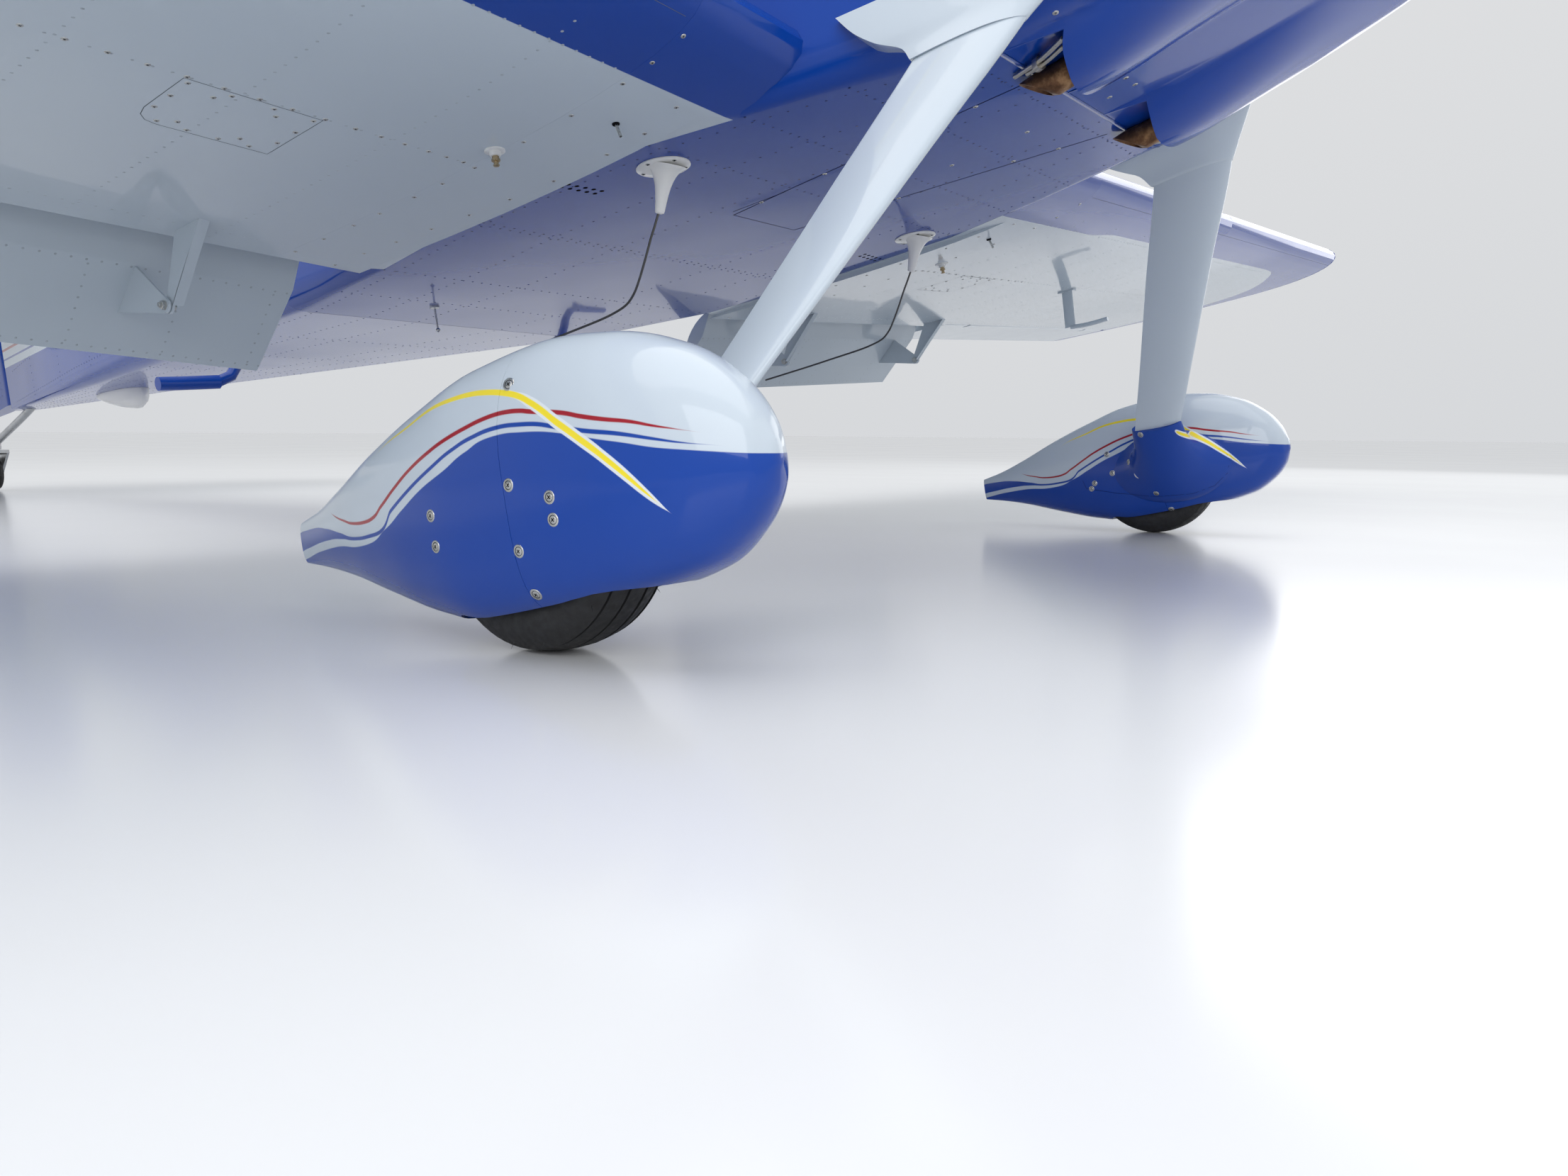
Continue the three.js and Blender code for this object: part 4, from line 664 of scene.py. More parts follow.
# Engine and exhausts: a flat-four of cast iron and alloy on four feet, and two steel pipes that come
# out through the cheeks. Heat has turned their fish-mouth ends brown, with straw and blue patches.
engine_iron = bare_metal("engine_castings", (0.12, 0.125, 0.13), 0.55, (60, 60, 60), 0.0006)
faired("engine_block", "engine_castings_block", engine_iron, angle=20)


def heat_scaled(name):
    """Steel with scale in patches, from brown-black to straw."""
    material, tree, metal = blank_finish(name)
    bloom = noise(tree, 26.0, Detail=6.0, Roughness=0.7)
    ramp = put(tree, "ValToRGB", {"Fac": bloom})
    dark, light = ramp.color_ramp.elements
    dark.position, dark.color = 0.3, (0.05, 0.026, 0.014, 1)
    light.position, light.color = 0.72, (0.46, 0.27, 0.13, 1)
    ramp.color_ramp.elements.new(0.5).color = (0.17, 0.085, 0.042, 1)
    tree.links.new(ramp.outputs[0], metal.inputs["Base Color"])
    metal.inputs["Metallic"].default_value = 0.75
    tree.links.new(spotted(tree, 60.0, 0.35, 0.75), metal.inputs["Roughness"])
    bumped(tree, metal, bloom, 0.4, 0.001)
    return material


def rod_mesh(name, route, radius, sides=10):
    """A round rod along a smooth route through level points in mm."""
    knots = [Vector(p) for p in route]
    line = []
    for i in range(len(knots) - 1):
        before = knots[i - 1] if i else knots[0] * 2 - knots[1]
        after = knots[i + 2] if i + 2 < len(knots) else knots[-1] * 2 - knots[-2]
        a, b, c, d = before, knots[i], knots[i + 1], after
        for t in (0, 0.2, 0.4, 0.6, 0.8):
            line.append(0.5 * (2 * b + (c - a) * t + (2 * a - 5 * b + 4 * c - d) * t ** 2
                               + (3 * b - 3 * c + d - a) * t ** 3))
    line.append(knots[-1])
    rings, side = [], None
    for i, p in enumerate(line):
        along = (line[min(i + 1, len(line) - 1)] - line[max(i - 1, 0)]).normalized()
        side = (side - along * side.dot(along)).normalized() if side else along.orthogonal().normalized()
        other = along.cross(side)
        rings.append(oval(p, side, other, radius, radius, sides))
    return lofted(name, rings, 60)


scaled_steel = heat_scaled("heat_scaled_steel")
# Columns: step along the pipe, x, z, how its ring leans forward and up, half-height, half-width
pipe_run = [(0, 640, 879.7, 1, 0, 25, 25), (1, 600, 800, 0.85, -0.5, 25, 25), (2, 500, 700, 0.6, -0.8, 25, 25),
            (3, 400, 650, 0.22, -0.98, 24, 29), (4, 346, 642.5, 0.853, -0.522, 32, 31)]
pipe_wall = 2.5
for side, which in both_sides:
    outside, inside = [], []
    for step, x, z, lean, rise, tall, wide in eased(pipe_run, 6):
        for rings, thinner in ((outside, 0), (inside, pipe_wall)):
            rings.append(oval((x, side * 229, z), (lean, 0, rise), (0, 1, 0), tall - thinner, wide - thinner))
    pipe = lofted("exhaust_pipe", outside + inside[::-1], 50)
    mouth = own("exhaust_fish_mouth_" + which, pipe, scaled_steel, "airframe", "exhaust_pipe_" + which)
hanger_steel = bare_metal("hanger_steel", (0.5, 0.48, 0.44), 0.38, (90, 90, 90))
hanger_rods = (("exhaust_hanger_rod_", 4.2, ((326, 267, 663), (360, 290, 659), (400, 316, 657), (446, 344, 662))),
               ("exhaust_hanger_stay_", 3.6, ((352, 276, 656), (372, 290, 653), (400, 306, 652), (440, 330, 655))))
clamp_wide, clamp_tall = 9, 11
for side, which in both_sides:
    for name, radius, route in hanger_rods:
        own(name + which, rod_mesh("hanger", [(x, side * y, z) for x, y, z in route], radius, 16), hanger_steel)
    along = Vector((46, side * 30, -1)).normalized()
    across, middle = along.cross(Vector(up)).normalized(), Vector((384, side * 301, 655))
    turns = [2 * math.pi * i / 24 for i in range(24)]
    bow = [[math.copysign(abs(way(t)) ** 0.6, way(t)) for t in turns] for way in (math.cos, math.sin)]
    clamp = lofted("clamp", [[middle + along * a + across * clamp_wide * u + Vector(up) * clamp_tall * v
                              for u, v in zip(*bow)] for a in (-7, -6, 6, 7)], 40)
    own("exhaust_hanger_clamp_" + which, clamp, hanger_steel)

# Propeller and spinner: carved laminated wood under black enamel with white tips, and a spun alloy
# spinner in blue that screws to a back plate.
hub = tuple(stood((1366, 0, 1100)))
tip_from = 0.83


def white_tipped(tree, *axes):
    from_hub = put(tree, "VectorMath", {0: object_spot(tree), 1: hub}, operation="DISTANCE").outputs["Value"]
    tip = ranged(tree, from_hub, tip_from - 0.0005, tip_from + 0.0005)
    return masked(tree, clouded(tree, (0.012, 0.012, 0.014), 30.0, 0.3), (0.75, 0.75, 0.73), tip)


propeller_black = coated("propeller_black", white_tipped, None, (60.0, 0.25, 0.45))
faired("propeller", "propeller_blades", propeller_black, "propeller", 50)
faired("spinner", "spinner_shell", enamel_blue, "propeller", 40)

# Canopy: a tip-up frame of alloy tube and glass-fibre skirt that carries one blown acrylic bubble.
# Behind it stand a steel roll bar and a fixed rear window in the same acrylic.
clear_acrylic = coated("clear_acrylic", (0.96, 0.975, 0.98), (4.0, 0.01), (80.0, 0.02, 0.05),
                       looks={"Transmission Weight": 1.0, "IOR": 1.49})
black_enamel = coated("black_enamel", (0.016, 0.016, 0.018), (20.0, 0.25), (50.0, 0.35, 0.55))
crown_rows = eased([(row[0], row[6]) for row in hull_frames], 8)
frame_wall, acrylic_wall, bow_tube = 12, 5, 15
canopy_ends, canopy_seal = (18, -1030), (3.3, 0.8)
window_edge, window_round = [(-78, 1472), (-300, 1398), (-986, 1398), (-986, 2100), (-78, 2100)], 60


def arch(x, inset, lift, steps=28):
    """Half a bow over the cabin, from the rail up to the crown."""
    row = straight_row(hull_frames, x)
    side, rail, crown = row[2] - inset, row[5], straight_row(crown_rows, x)[1] - inset
    bow = []
    for i in range(steps + 1):
        a = math.pi / 2 * i / steps
        z = rail + (crown - rail) * math.sin(a) ** 0.95
        bow.append((x, side * max(math.cos(a), 0) ** 0.9, max(z, rail + lift)))
    return bow


def mirrored(half):
    """Half a bow from rail to crown, carried on down the other side."""
    return half + [(x, -y, z) for x, y, z in half[-2::-1]]


def arch_shell(name, ends, wall, lifts, count=30):
    """A blown or moulded sheet over the cabin between two bows."""
    rings = []
    for i in range(count + 1):
        x, lift = (a + (b - a) * i / count for a, b in (ends, lifts))
        rings.append(mirrored(arch(x, 0, lift)) + mirrored(arch(x, wall, lift))[::-1])
    return lofted(name, rings)


def softened(points, times=3):
    """A side outline with its corners taken off."""
    for _ in range(times):
        points = [(a[0] * u + b[0] * v, a[1] * u + b[1] * v)
                  for a, b in zip(points, points[1:] + points[:1]) for u, v in ((0.8, 0.2), (0.2, 0.8))]
    return points


def drawn_in(points, by):
    """A side outline moved inwards by the same amount all round."""
    turning = sum(a[0] * b[1] - b[0] * a[1] for a, b in zip(points, points[1:] + points[:1]))
    by = math.copysign(by, turning * by) if by else 0
    moved = []
    for before, here, after in zip(points[-1:] + points[:-1], points, points[1:] + points[:1]):
        along = Vector((after[0] - before[0], after[1] - before[1])).normalized()
        moved.append((here[0] - along.y * by, here[1] + along.x * by))
    return moved


def window_plate(shrink):
    """The block, as wide as the cabin, that divides clear acrylic from painted skirt."""
    first, corner, last, *top = window_edge
    line = [first]
    for before, here, after in ((first, corner, last), (corner, last, top[0])):
        a, c, b = Vector(before), Vector(here), Vector(after)
        near, far = c + (a - c).normalized() * window_round, c + (b - c).normalized() * window_round
        line += [tuple(near * (1 - t) ** 2 + c * 2 * t * (1 - t) + far * t * t) for t in (0, 0.25, 0.5, 0.75, 1)]
    outline = drawn_in(line + top, shrink)
    return lofted("window", [[(x, y, z) for x, z in outline] for y in (-beside, beside)])


skirt = smooth(cut(arch_shell("skirt", canopy_ends, frame_wall, canopy_seal), window_plate(0)), 35)
canopy_skirt = own("canopy_skirt", skirt, enamel_side, "canopy", "canopy_frame")
bubble = cut(arch_shell("bubble", canopy_ends, acrylic_wall, canopy_seal), window_plate(0.3), how="INTERSECT")
own("canopy_bubble", smooth(bubble, 35), clear_acrylic, "canopy", "canopy_glass")
rear_sheet = smooth(arch_shell("rear_window", (-1066.3, -1499.7), acrylic_wall, (0.4, 0.4), 16), 35)
own("rear_window_acrylic", rear_sheet, clear_acrylic, "airframe", "rear_window")
bow = mirrored(arch(-1051, bow_tube + 4, 6)[::3])
own("roll_bar_tube", rod_mesh("roll_bar", bow, bow_tube, 24), black_enamel, "airframe", "roll_bar")
canopy_spots = []
canopy_hull = outside_of(canopy_skirt)
slant_screws = spaced((-292, 0, 1389), (-70, 0, 1462), 50)
for side in (-1, 1):
    canopy_spots += from_beside(canopy_hull, [(x, 1386) for x in range(-310, -980, -56)], side)
    canopy_spots += from_beside(canopy_hull, [(p.x, p.z) for p in slant_screws], side)
heads("canopy_screws", canopy_spots, [(4.4, 0.0), (4.2, 0.4), (3.4, 0.8), (0, 0.8)], 14, screw_finish,
      "canopy", cross=(2.2, 0.45, 0.85))

# Cabin: an alloy panel with six round instruments, a screen and push-pull knobs, hung rudder pedals,
# two sticks with rubber grips, and cut-pile carpet on the floor.
faired("instrument_panel", "panel_sheet", black_enamel)
panel_face_x, chamfer = -162, 1.5
dial_glass = plain_coat("dial_faces", (0.012, 0.013, 0.016), 0.06, 0.1)
dial_white = plain_coat("dial_marks", (0.75, 0.75, 0.7), 0.4, 0.6)
knob_red = plain_coat("knob_red", (0.4, 0.015, 0.012), 0.3, 0.45)


def turned(name, spot, out, profile, sides, finish, angle=35):
    """A turned fitting that stands on a skin: (radius, height) pairs in mm, out from the skin."""
    along = out.normalized()
    side = along.orthogonal().normalized()
    other = along.cross(side)
    rings = [oval(spot + along * height * mm, side, other, max(radius, 0.05) * mm, max(radius, 0.05) * mm, sides)
             for radius, height in profile]
    return own(name, skin_mesh(name, rings, angle), finish)


def panel_spot(y, z, proud=0):
    return stood((panel_face_x - proud, y, z))


def panel_box(name, y, z, wide, tall, proud, finish, corner, start):
    """A bezel with rounded corners and a chamfer that stands on the panel."""
    corners = [(u * (wide / 2 - corner), v * (tall / 2 - corner)) for u, v in ((1, 1), (-1, 1), (-1, -1), (1, -1))]
    turns = [(cy, cz, math.pi / 2 * (q + i / 5)) for q, (cy, cz) in enumerate(corners) for i in range(6)]
    rings = [[panel_spot(y + cy + r * math.cos(a), z + cz + r * math.sin(a), out) for cy, cz, a in turns]
             for out, r in ((start, corner), (proud - chamfer, corner), (proud, corner - chamfer))]
    return own(name, skin_mesh(name, rings, 35), finish)


aft_way = heading((-1, 0, 0))
dials = [(y, z) for z in (1206, 1112) for y in (350, 263, 176)]
needles = (35, 80, 200, 250, 310, 150)
bezel = [(40, 0), (40, 4), (38.5, 5.5), (35.5, 5.5), (34.5, 2), (0, 2)]
for number, (y, z) in enumerate(dials):
    turned("dial_bezel_%d" % number, panel_spot(y, z), aft_way, bezel, 40, black_enamel)
    turned("dial_face_%d" % number, panel_spot(y, z), aft_way, [(34.4, 2.05), (34.4, 2.6), (0, 2.6)], 40, dial_glass)
    marks = bmesh.new()
    strokes = [(2 * math.pi * i / 30, 2.75, [(inner, -half), (32, -half), (32, half), (inner, half)])
               for i in range(30) for inner, half in [(28.5, 0.5) if i % 5 else (25, 0.9)]]
    strokes.append((math.radians(needles[number]), 2.9, [(-7, -1.4), (24, 0), (-7, 1.4)]))
    for a, proud, stroke in strokes:
        marks.faces.new([marks.verts.new(panel_spot(y + r * math.cos(a) - t * math.sin(a),
                                                    z + r * math.sin(a) + t * math.cos(a), proud))
                         for r, t in stroke])
    own("dial_marks_%d" % number, finished_mesh("dial_marks", marks), dial_white)
for name, y, z, wide, tall, proud, finish, corner, start in (
        ("screen_bezel", 0, 1180, 210, 142, 16, black_enamel, 8, 0),
        ("screen_glass", 0, 1184, 180, 112, 16.6, dial_glass, 3, 15),
        ("radio_case", 0, 1076, 168, 42, 10, black_enamel, 3, 0),
        ("radio_window", 14, 1082, 92, 16, 10.6, dial_glass, 2, 9),
        ("map_box_door", -290, 1150, 230, 130, 2.5, black_enamel, 10, 0)):
    panel_box(name, y, z, wide, tall, proud, finish, corner, start)
radio_knob = [(9, 0), (8.5, 14), (7.5, 15), (0, 15)]
engine_knob = [(9, 0), (9, 5), (4, 6), (4, 38), (12, 42), (16, 48), (16, 56), (12, 62), (0, 64)]
for number, y in enumerate((-72, 72)):
    turned("radio_knob_%d" % number, panel_spot(y, 1076, 10), aft_way, radio_knob, 20, black_enamel)
for number, (y, finish) in enumerate(((34, black_enamel), (0, enamel_blue), (-34, knob_red))):
    turned("engine_knob_%d" % number, panel_spot(y, 1030), aft_way, engine_knob, 28, finish)
lever_way = aft_way + heading((0, 0, 0.5))
for number in range(8):
    spot = panel_spot(150 + 30 * number, 1040)
    turned("switch_%d" % number, spot, aft_way, [(6, 0), (6, 2.5), (4, 3), (4, 7), (0, 7)], 12, screw_steel)
    turned("switch_lever_%d" % number, spot + aft_way * 6 * mm, lever_way, [(2, 0), (2.6, 14), (1.5, 16), (0, 16)], 12,
           screw_steel)

carpet = coated("cut_pile_carpet", (0.035, 0.045, 0.075), (260.0, 0.5), (90.0, 0.85, 1.0),
                [(480.0, 2.0, 0.9, 0.002)])
pile_deep = 5
for place, (front, back) in (("front", (310, -552)), ("rear", (-1196, -1470))):
    rings = []
    for x in (front + (back - front) * i / 8 for i in range(9)):
        row = straight_row(hull_frames, x)
        half, low = row[1] - 44, row[3] + 60.4
        rings.append([(x, -half, low), (x, half, low), (x, half - 4, low + pile_deep), (x, -half + 4, low + pile_deep)])
    own("carpet_" + place, lofted("carpet", rings), carpet)

grip_rubber = plain_coat("grip_rubber", (0.014, 0.014, 0.015), 0.55, 0.8)
stick_grip = [(0, -4), (14.4, -3), (17.4, 2), (16.4, 12), (18.4, 22), (16.6, 34), (18.6, 46), (16.8, 58), (18.6, 70),
              (18, 84), (12, 91), (0, 92)]
for side, which in both_sides:
    faired("control_stick_" + which, "stick_" + which, black_enamel)
    turned("stick_grip_" + which, stood((-440, side * 262, 1000)), heading((10, 0, 85)), stick_grip, 28, grip_rubber)
    tube = rod_mesh("tube", [(84, side * y, z) for y, z in ((90, 792), (200, 790), (330, 790), (430, 792))], 9, 16)
    own("pedal_tube_" + which, tube, screw_steel)
    for place, y in (("inner", 180), ("outer", 345)):
        pad = lofted("pedal", [[(x + 0.25 * (z - 800), side * (y + w), z) for x, w in (
            (58, -38), (58, 38), (66, 38), (66, -38))] for z in (800, 812, 890, 902)])
        own("rudder_pedal_%s_%s" % (place, which), pad, screw_steel)

# Seats: foam pads on an alloy pan, in a sewn cover with woven grey cloth in the middle and navy hide on
# the bolsters. The panels are stitched in channels that draw the foam down.
seat_cloth, tree, weave = blank_finish("seat_cloth_woven")
threads = [put(tree, "TexWave", {"Vector": object_spot(tree), "Scale": 210.0, "Distortion": 0.6, "Detail": 1.0},
               bands_direction=way).outputs["Fac"] for way in ("X", "Y", "Z")]
crossed = sums(tree, "MAXIMUM", sums(tree, "MULTIPLY", threads[0], threads[1]), threads[2])
# The cloth is darker in the weave's valleys and lighter on its crowns, following the relief its bump draws: painted
# shade and highlight over the cloth's own drifting tone.
weave_shade_over_tone = put(tree, "HueSaturation", {"Value": ranged(tree, crossed, 0.0, 1.0, 0.62, 1.18),
                                   "Color": clouded(tree, (0.145, 0.133, 0.12), 18.0, 0.12)})
tree.links.new(weave_shade_over_tone.outputs[0], weave.inputs["Base Color"])
tree.links.new(spotted(tree, 40.0, 0.8, 0.95), weave.inputs["Roughness"])
weave.inputs["Sheen Weight"].default_value = 0.3
bumped(tree, weave, crossed, 0.5, 0.0006)
navy_hide, tree, hide = blank_finish("navy_hide")
tree.links.new(clouded(tree, (0.012, 0.02, 0.06), 25.0, 0.2), hide.inputs["Base Color"])
tree.links.new(spotted(tree, 50.0, 0.38, 0.55), hide.inputs["Roughness"])
pores = put(tree, "TexVoronoi", {"Vector": object_spot(tree), "Scale": 900.0}).outputs[0]
bumped(tree, hide, noise(tree, 60.0, Detail=5.0), 0.3, 0.0015, bumped(tree, hide, pores, 0.35, 0.0003))
seat_middle, bolster_from, seat_in, seat_out = 263, 122, 26, 500
seat_edge, seat_gap, seat_weave = 24, 12, 0.008
cushion_side = [(-962, 731), (-962, 806), (-900, 812), (-760, 838), (-622, 862), (-574, 848), (-564, 800), (-566, 731)]
back_side = [(-976, 742), (-978, 822), (-1112, 1302), (-1142, 1318), (-1172, 1308), (-1060, 742)]
cushion_seams, back_seams = (-650, -735, -820, -905), (900, 985, 1070, 1155, 1240)
seat_swell, seam_deep, seam_wide = 0.011, 0.005, 7


def swollen(mesh, cap):
    """Fills a sewn cover by cloth simulation, and lets no point of it move further than the cap."""
    scene = bpy.context.scene

    def finished(source, kind, **settings):
        form = placed("form", source)
        step = form.modifiers.new("step", kind)
        for name, value in settings.items():
            setattr(step, name, value)
        if kind == "CLOTH":
            step.settings.use_pressure = True
            step.settings.uniform_pressure_force = 4
            step.settings.effector_weights.gravity = 0
            for tick in range(1, 21):
                scene.frame_set(tick)
        made = bpy.data.meshes.new_from_object(form.evaluated_get(bpy.context.evaluated_depsgraph_get()))
        bpy.data.objects.remove(form)
        return made

    even = finished(mesh, "REMESH", mode="VOXEL", voxel_size=seat_weave)
    full = finished(even, "CLOTH")
    scene.frame_set(1)
    for before, after in zip(even.vertices, full.vertices):
        move = after.co - before.co
        if move.length > cap:
            after.co = before.co + move * (cap / move.length)
    return full


def sewn(mesh, seam_axis, seams, front):
    """Draws the stitched channels down into the panel side, and covers the bolsters in hide."""
    facing = heading(front)
    marks = []
    for vertex in mesh.vertices:
        p = levelled(vertex.co)
        off = abs(abs(p.y) - seat_middle)
        apart = abs(off - bolster_from)
        if off < bolster_from:
            apart = min(apart, *(abs(p[seam_axis] - s) for s in seams))
        shown = max(0, min(1, (vertex.normal.dot(facing) - 0.2) * 3))
        marks.append(vertex.normal * (shown * seam_deep * math.exp(-(apart / seam_wide) ** 2)))
    for vertex, dip in zip(mesh.vertices, marks):
        vertex.co -= dip
    mesh.materials.append(seat_cloth)
    mesh.materials.append(navy_hide)
    for face in mesh.polygons:
        p = levelled(face.center)
        inside = abs(abs(p.y) - seat_middle) < bolster_from and face.normal.dot(facing) > 0.05
        face.material_index = 0 if inside else 1


for side, which in both_sides:
    for kind, outline, axis, seams, front in (("cushion", cushion_side, 0, cushion_seams, (-0.12, 0, 1)),
                                              ("back", back_side, 2, back_seams, (1, 0, 0.28))):
        outline = softened(outline)
        rings = []
        for step in range(14):
            turn = math.pi / 2 * min(step, 13 - step) / 6
            reach = seat_edge * (1 - math.cos(turn))
            y = seat_in + seat_gap + reach if step < 7 else seat_out - seat_gap - reach
            rings.append([(x, side * y, z) for x, z in drawn_in(outline, seat_edge * (1 - math.sin(turn)))])
        mesh = swollen(lofted("pad", rings), seat_swell)
        mesh.materials.clear()
        sewn(mesh, axis, seams, front)
        mesh.shade_smooth()
        pad = placed("seat_%s_pad_%s" % (kind, which), mesh)
        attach(pad, "airframe")
        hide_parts("seat_%s_%s" % (kind, which))
        rounding = pad.modifiers.new("even surface", "SUBSURF")
        rounding.levels = rounding.render_levels = 1

# Wings: alloy skins flush-riveted over ribs and two spars, light grey with a blue leading edge that
# wraps round the glass-fibre tips. A glass-fibre fairing closes each root against the fuselage.
# Columns: distance out, and x where blue meets grey
wing_band = [(500, -80), (1110, -80), (1300, -57), (3000, -57), (3237, -64), (3426, -129), (3574, -217),
             (3660, -300), (3740, -450), (3800, -700), (3862, -1340)]


def wing_livery(tree, along, across, height):
    out = sums(tree, "ABSOLUTE", across)
    return masked(tree, blue, light_grey, below(tree, along, drawn_line(tree, out, wing_band)))


enamel_wing = enamel("enamel_wing", wing_livery, 0.0032)
wing_lead, wing_chord = 90, 1422
incidence, dihedral = math.radians(2.74), math.radians(3.5)


def foil_half(f, thickness):
    """Half the thickness of a streamline section at a share of its chord."""
    return 5 * thickness * (0.2969 * math.sqrt(f) - 0.126 * f - 0.3516 * f ** 2 + 0.2843 * f ** 3 - 0.1036 * f ** 4)


def wing_share(x):
    return min(max((wing_lead - x) / wing_chord, 0), 1)


def wing_middle(x):
    """The height of the section's middle line at the wing's root."""
    f = wing_share(x)
    bow = 0.02 / 0.16 * (0.8 * f - f * f) if f < 0.4 else 0.02 / 0.36 * (0.2 + 0.8 * f - f * f)
    return 704.3 - (wing_lead - x) * math.tan(incidence) + bow * wing_chord


def wing_half(x):
    f = wing_share(x)
    return foil_half(f, 0.13) * wing_chord + 2 * f


# Columns: y, shift of the leading edge, shift of the trailing edge, share of the thickness, lift
tip_rows = [(3862.3, 0, 0, 1, 0), (3940, -26, 4, 0.93, 2), (4010, -82, 14, 0.76, 6), (4062, -152, 34, 0.55, 12),
            (4096, -240, 70, 0.32, 16), (4115, -370, 130, 0.1, 18)]


def tip_ring(row, side, steps=40):
    y, front_shift, back_shift, thin, lift = row
    front, back = wing_lead + front_shift, wing_lead - wing_chord + back_shift
    ring = []
    for i in range(2 * steps):
        f = (1 - math.cos(math.pi * i / steps)) / 2
        x = wing_lead - f * wing_chord
        at = front - f * (front - back)
        thick = wing_half(x) * (1 if i <= steps else -1) * thin
        ring.append((at, side * y, wing_middle(at) + thick + lift + y * math.tan(dihedral)))
    return ring


wings = {}
spar_rows, rib_places, rivet_pitch = (-80, -463, -1012), [960 + 255 * i for i in range(12)], 27
under_wing, over_wing = 250, 1500
root_screw_x = (28, -39, -104, -223, -340, -470, -560, -642, -749, -833, -934, -1035)
inner_screws = [(-105, 661), (-197, 642), (-292, 639), (-432, 638), (-546, 644), (-655, 653), (-761, 662),
                (-866, 669), (-965, 677), (-1066, 679)]
spar_screw_y = (1509, 1457, 1404, 1352, 1298, 1244, 1190, 1138, 1083, 1030, 983, 938, 891, 854, 818)
plate_screws = [(-479, 1289), (-478, 1225), (-478, 1159), (-478, 1094), (-498, 1242), (-499, 1144), (-529, 1289),
                (-575, 1290), (-617, 1267), (-602, 1243), (-621, 1220), (-621, 1170), (-601, 1145), (-618, 1121),
                (-581, 1094), (-530, 1093)]
plate_edge = [(-468, 1084), (-468, 1300), (-585, 1300), (-609, 1294), (-624, 1281), (-629, 1262), (-629, 1084),
              (-468, 1084)]
rivet_places = [(x, p.y) for x in spar_rows for p in spaced((0, 830, 0), (0, 3840, 0), rivet_pitch)]
rivet_places += [(p.x, y) for y in rib_places for p in spaced((-30, 0, 0), (-1050, 0, 0), rivet_pitch)]
wing_screws = [(x, 789) for x in root_screw_x] + inner_screws + [(-463, y) for y in spar_screw_y] + plate_screws
wing_screws += [(x, 3848) for x in range(-60, -1050, -90)]
flush_screw = [(4.4, 0.0), (4.2, 0.5), (3.4, 0.9), (0, 0.8)]
walk_thick, cap_lift = 0.6, 0.4
fuel_cap = [(41, 0), (41, 1.0), (39, 1.8), (30, 1.9), (29, 1.2), (14, 1.2), (13, 2.6), (0, 2.6)]
# Seams on the grey skins are dark strips of painted shade in the gaps round the access plates, the nose lap and the
# trim tab.
seam_shade_grey = plain_coat("seam_shadow_on_grey", (0.12, 0.14, 0.16), 0.5, 0.7, shine=0.05)
grit_black = coated("wing_walk_grit", (0.02, 0.02, 0.022), (300.0, 0.6), (200.0, 0.75, 0.95),
                    [(900.0, 1.0, 0.8, 0.0008)])
for side, which in both_sides:
    wings[which] = faired("wing_" + which, "wing_skin_" + which, enamel_wing)
    root = faired("wing_root_fairing_" + which, "wing_root_skin_" + which, enamel_wing)
    tip = lofted("wing_tip", [tip_ring(row, side) for row in eased(tip_rows, 5)], 60)
    tip_piece = own("wing_tip_shell_" + which, tip, enamel_wing, "airframe", "wing_tip_" + which)
    faired("aileron_" + which, "aileron_skin_" + which, enamel_wing, "aileron_" + which)
    wing_skin = outside_of(wings[which], root, tip_piece)
    for face, found, start in (("lower", from_below, under_wing), ("upper", from_above, over_wing)):
        heads("wing_rivets_%s_%s" % (face, which), found(wing_skin, rivet_places, side, start), flush_rivet, 8,
              rivet_grey_painted_shade)
    heads("wing_screws_" + which, from_below(wing_skin, wing_screws, side, under_wing), flush_screw, 14,
          screw_finish, cross=(2.2, 0.45, 0.95))
    seam("access_plate_edge_" + which, wing_skin, [(x, side * y, under_wing) for x, y in plate_edge], up, seam_shade_grey)
    walk = bmesh.new()
    rows = [from_above(wing_skin, [(x, y) for y in (818, 870, 920, 970, 1018)], side, over_wing)
            for x in range(-60, -1041, -28)]
    laid = [[walk.verts.new(spot + out * walk_thick * mm) for spot, out in row] for row in rows]
    for a, b in zip(laid, laid[1:]):
        for k in range(len(a) - 1):
            walk.faces.new((a[k], a[k + 1], b[k + 1], b[k]))
    own("wing_walk_" + which, finished_mesh("wing_walk", walk), grit_black)
    cap, out = landing(wing_skin, (-70, side * 1560, over_wing), down)
    heads("fuel_cap_" + which, [(cap + out * cap_lift * mm, out)], fuel_cap, 40, screw_finish, cross=(9, 1.6, 2.7))
    seam("wing_nose_lap_" + which, wing_skin, [(55, side * y, under_wing) for y in (812, 3850)], up, seam_shade_grey, 0.9)

